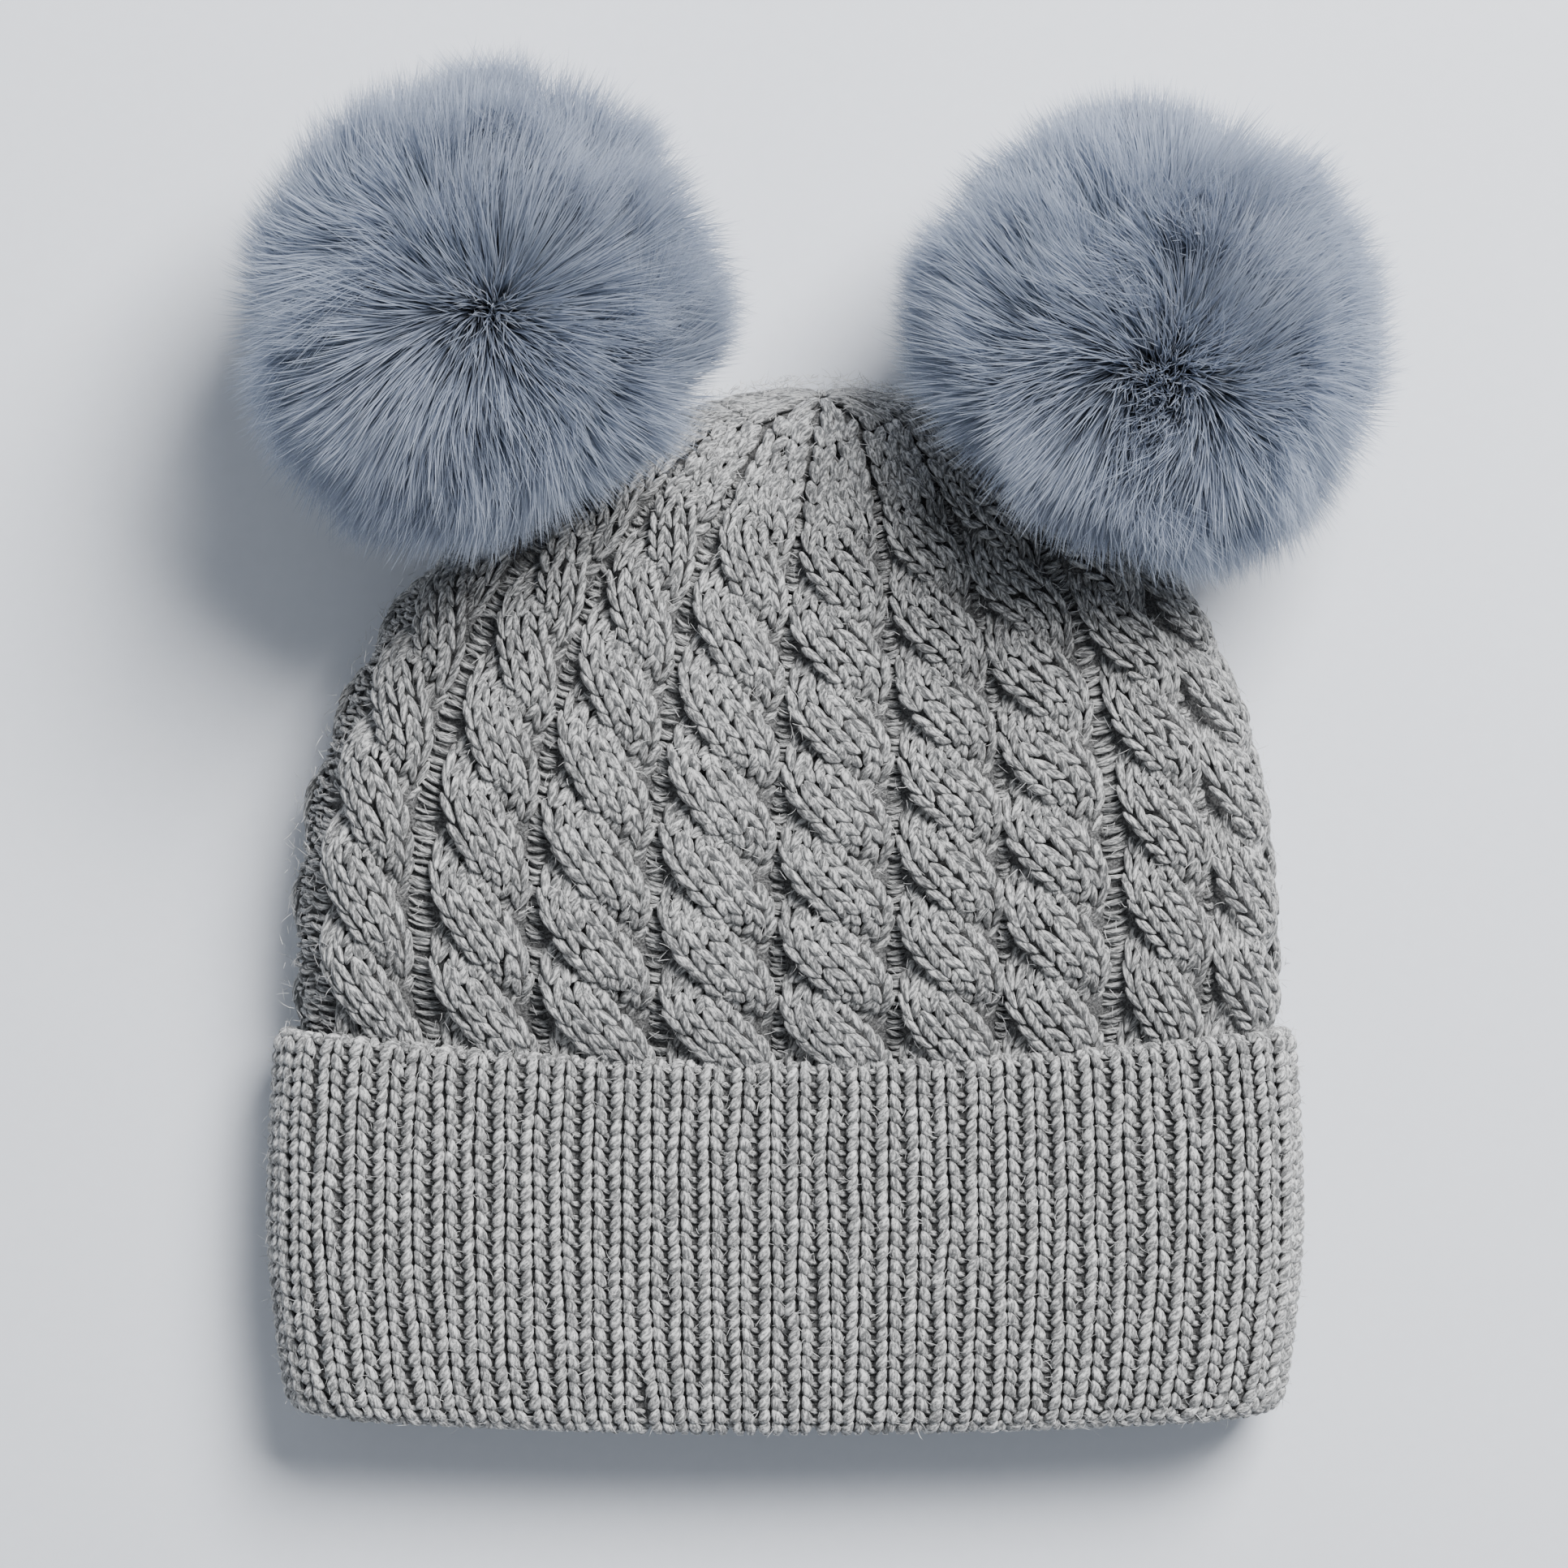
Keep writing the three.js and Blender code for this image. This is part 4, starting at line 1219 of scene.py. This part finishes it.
def ball(name, centre, radius, material, seed, lumps, along=0.05, rings=48, sides=72):
    """A lumpy ball."""
    rng = np.random.default_rng(seed)
    polar, turn = np.meshgrid(np.linspace(0.02, math.pi - 0.02, rings),
                              np.linspace(0, 2 * math.pi, sides, endpoint=False), indexing="ij")
    heading = np.stack([np.sin(polar) * np.cos(turn), np.sin(polar) * np.sin(turn), np.cos(polar)], -1)
    heading = heading.reshape(-1, 3)
    size = radius * (1 + lumps * waves(heading, rng, 8, 6.0))
    points = np.array(centre) + heading * size[:, None]
    index = np.arange(rings * sides).reshape(rings, sides)
    nxt = np.roll(index, -1, 1)
    quads = np.stack([index[:-1], index[1:], nxt[1:], nxt[:-1]], -1).reshape(-1, 4)
    i, j = np.meshgrid(np.arange(rings - 1), np.arange(sides), indexing="ij")
    corners = [(i, j), (i + 1, j), (i + 1, j + 1), (i, j + 1)]
    uv = np.stack([np.stack([b / sides, a / (rings - 1)], -1) for a, b in corners], -2).reshape(-1, 2)
    values = {"along": np.full(len(points), along), **evenly_toned(points, 0.5)}
    return fill_mesh(name, points, quads, NO_TRIS, uv, material, values)


def fill_material():
    material, tree, shader = new_material("fibre_fill", 0.95, sheen=0.4)
    fibre = value_from(tree, "fibre", "Vector")
    wisps = noise(tree, fibre, 0.35, 6.0, 0.7)
    white = ramp(tree, wisps, [(0.3, (0.62, 0.63, 0.65)), (0.7, (0.86, 0.87, 0.88))])
    tree.links.new(white, shader.inputs["Base Color"])
    bump(tree, shader, wisps, 0.8, 0.002)
    return material


FILL = fill_material()
for number, (side, facts) in enumerate(POMPOMS.items()):
    fur = pompom_fur(side, facts, 500 + number)
    # The ball behind the fur takes the fur's colour near the root, dark as painted shade, for the shade
    # deep in the fur that shows between the hairs.
    core = ball(f"{side}_fur_backing", facts["centre"], facts["radius"] * 0.6, FUR, 600 + number, 0.01)
    low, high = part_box(f"{side}_stuffing")
    middle, radius = (low + high) / 2 / MM, (high.x - low.x) / 2 / MM * 0.74
    stuffing = ball(f"{side}_fibre_fill", tuple(middle), radius, FILL, 700 + number, 0.02)
    for piece in fur:
        placed(piece, f"{side}_pompom")
    placed(core, f"{side}_pompom", f"{side}_fur_cover")
    placed(stuffing, f"{side}_pompom", f"{side}_stuffing")


# ---- floor, light and camera ------------------------------------------------------------------------

FLOOR_HALF, FLOOR_Z = 4, -0.0002  # metres


def floor():
    mesh = bpy.data.meshes.new("floor")
    corners = [(-1, -1), (1, -1), (1, 1), (-1, 1)]
    mesh.from_pydata([(x * FLOOR_HALF, y * FLOOR_HALF, FLOOR_Z) for x, y in corners], [], [(0, 1, 2, 3)])
    material, tree, shader = new_material("pale_paper", 0.9)
    place = tree.nodes.new("ShaderNodeTexCoord").outputs["Object"]
    grain = noise(tree, place, 300.0, 4.0)
    paper = ramp(tree, grain, [(0.3, (0.85, 0.885, 0.955)), (0.7, (0.87, 0.905, 0.975))])
    tree.links.new(paper, shader.inputs["Base Color"])
    mesh.materials.append(material)
    piece = bpy.data.objects.new("floor", mesh)
    bpy.context.scene.collection.objects.link(piece)
    piece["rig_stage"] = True


def lamp(name, place, target, size, power, colour=(1, 1, 1)):
    light = bpy.data.lights.new(name, "AREA")
    light.shape = "SQUARE"
    light.size = size
    light.energy = power
    light.color = colour
    holder = bpy.data.objects.new(name, light)
    holder.location = place
    holder.rotation_euler = (Vector(target) - Vector(place)).to_track_quat("-Z", "Y").to_euler()
    bpy.context.scene.collection.objects.link(holder)


floor()
lamp("window", (0.64, 0.88, 1.38), (0, 0, 0), 0.85, 66, (1.0, 0.99, 0.98))
lamp("fill", (-0.9, -0.6, 1.4), (0, 0, 0), 1.6, 2, (0.96, 0.98, 1.0))
world = bpy.data.worlds.new("soft_room")
world.use_nodes = True
world.node_tree.nodes["Background"].inputs["Color"].default_value = (0.86, 0.92, 1.0, 1)
world.node_tree.nodes["Background"].inputs["Strength"].default_value = 0.28
bpy.context.scene.world = world

camera = bpy.data.cameras.new("camera")
camera.sensor_width = 36
camera.lens = 133.5
camera.clip_start, camera.clip_end = 0.05, 20
holder = bpy.data.objects.new("camera", camera)
holder.location = (-0.00605, -0.00614, 1.300)
bpy.context.scene.collection.objects.link(holder)
bpy.context.scene.camera = holder

low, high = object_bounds()
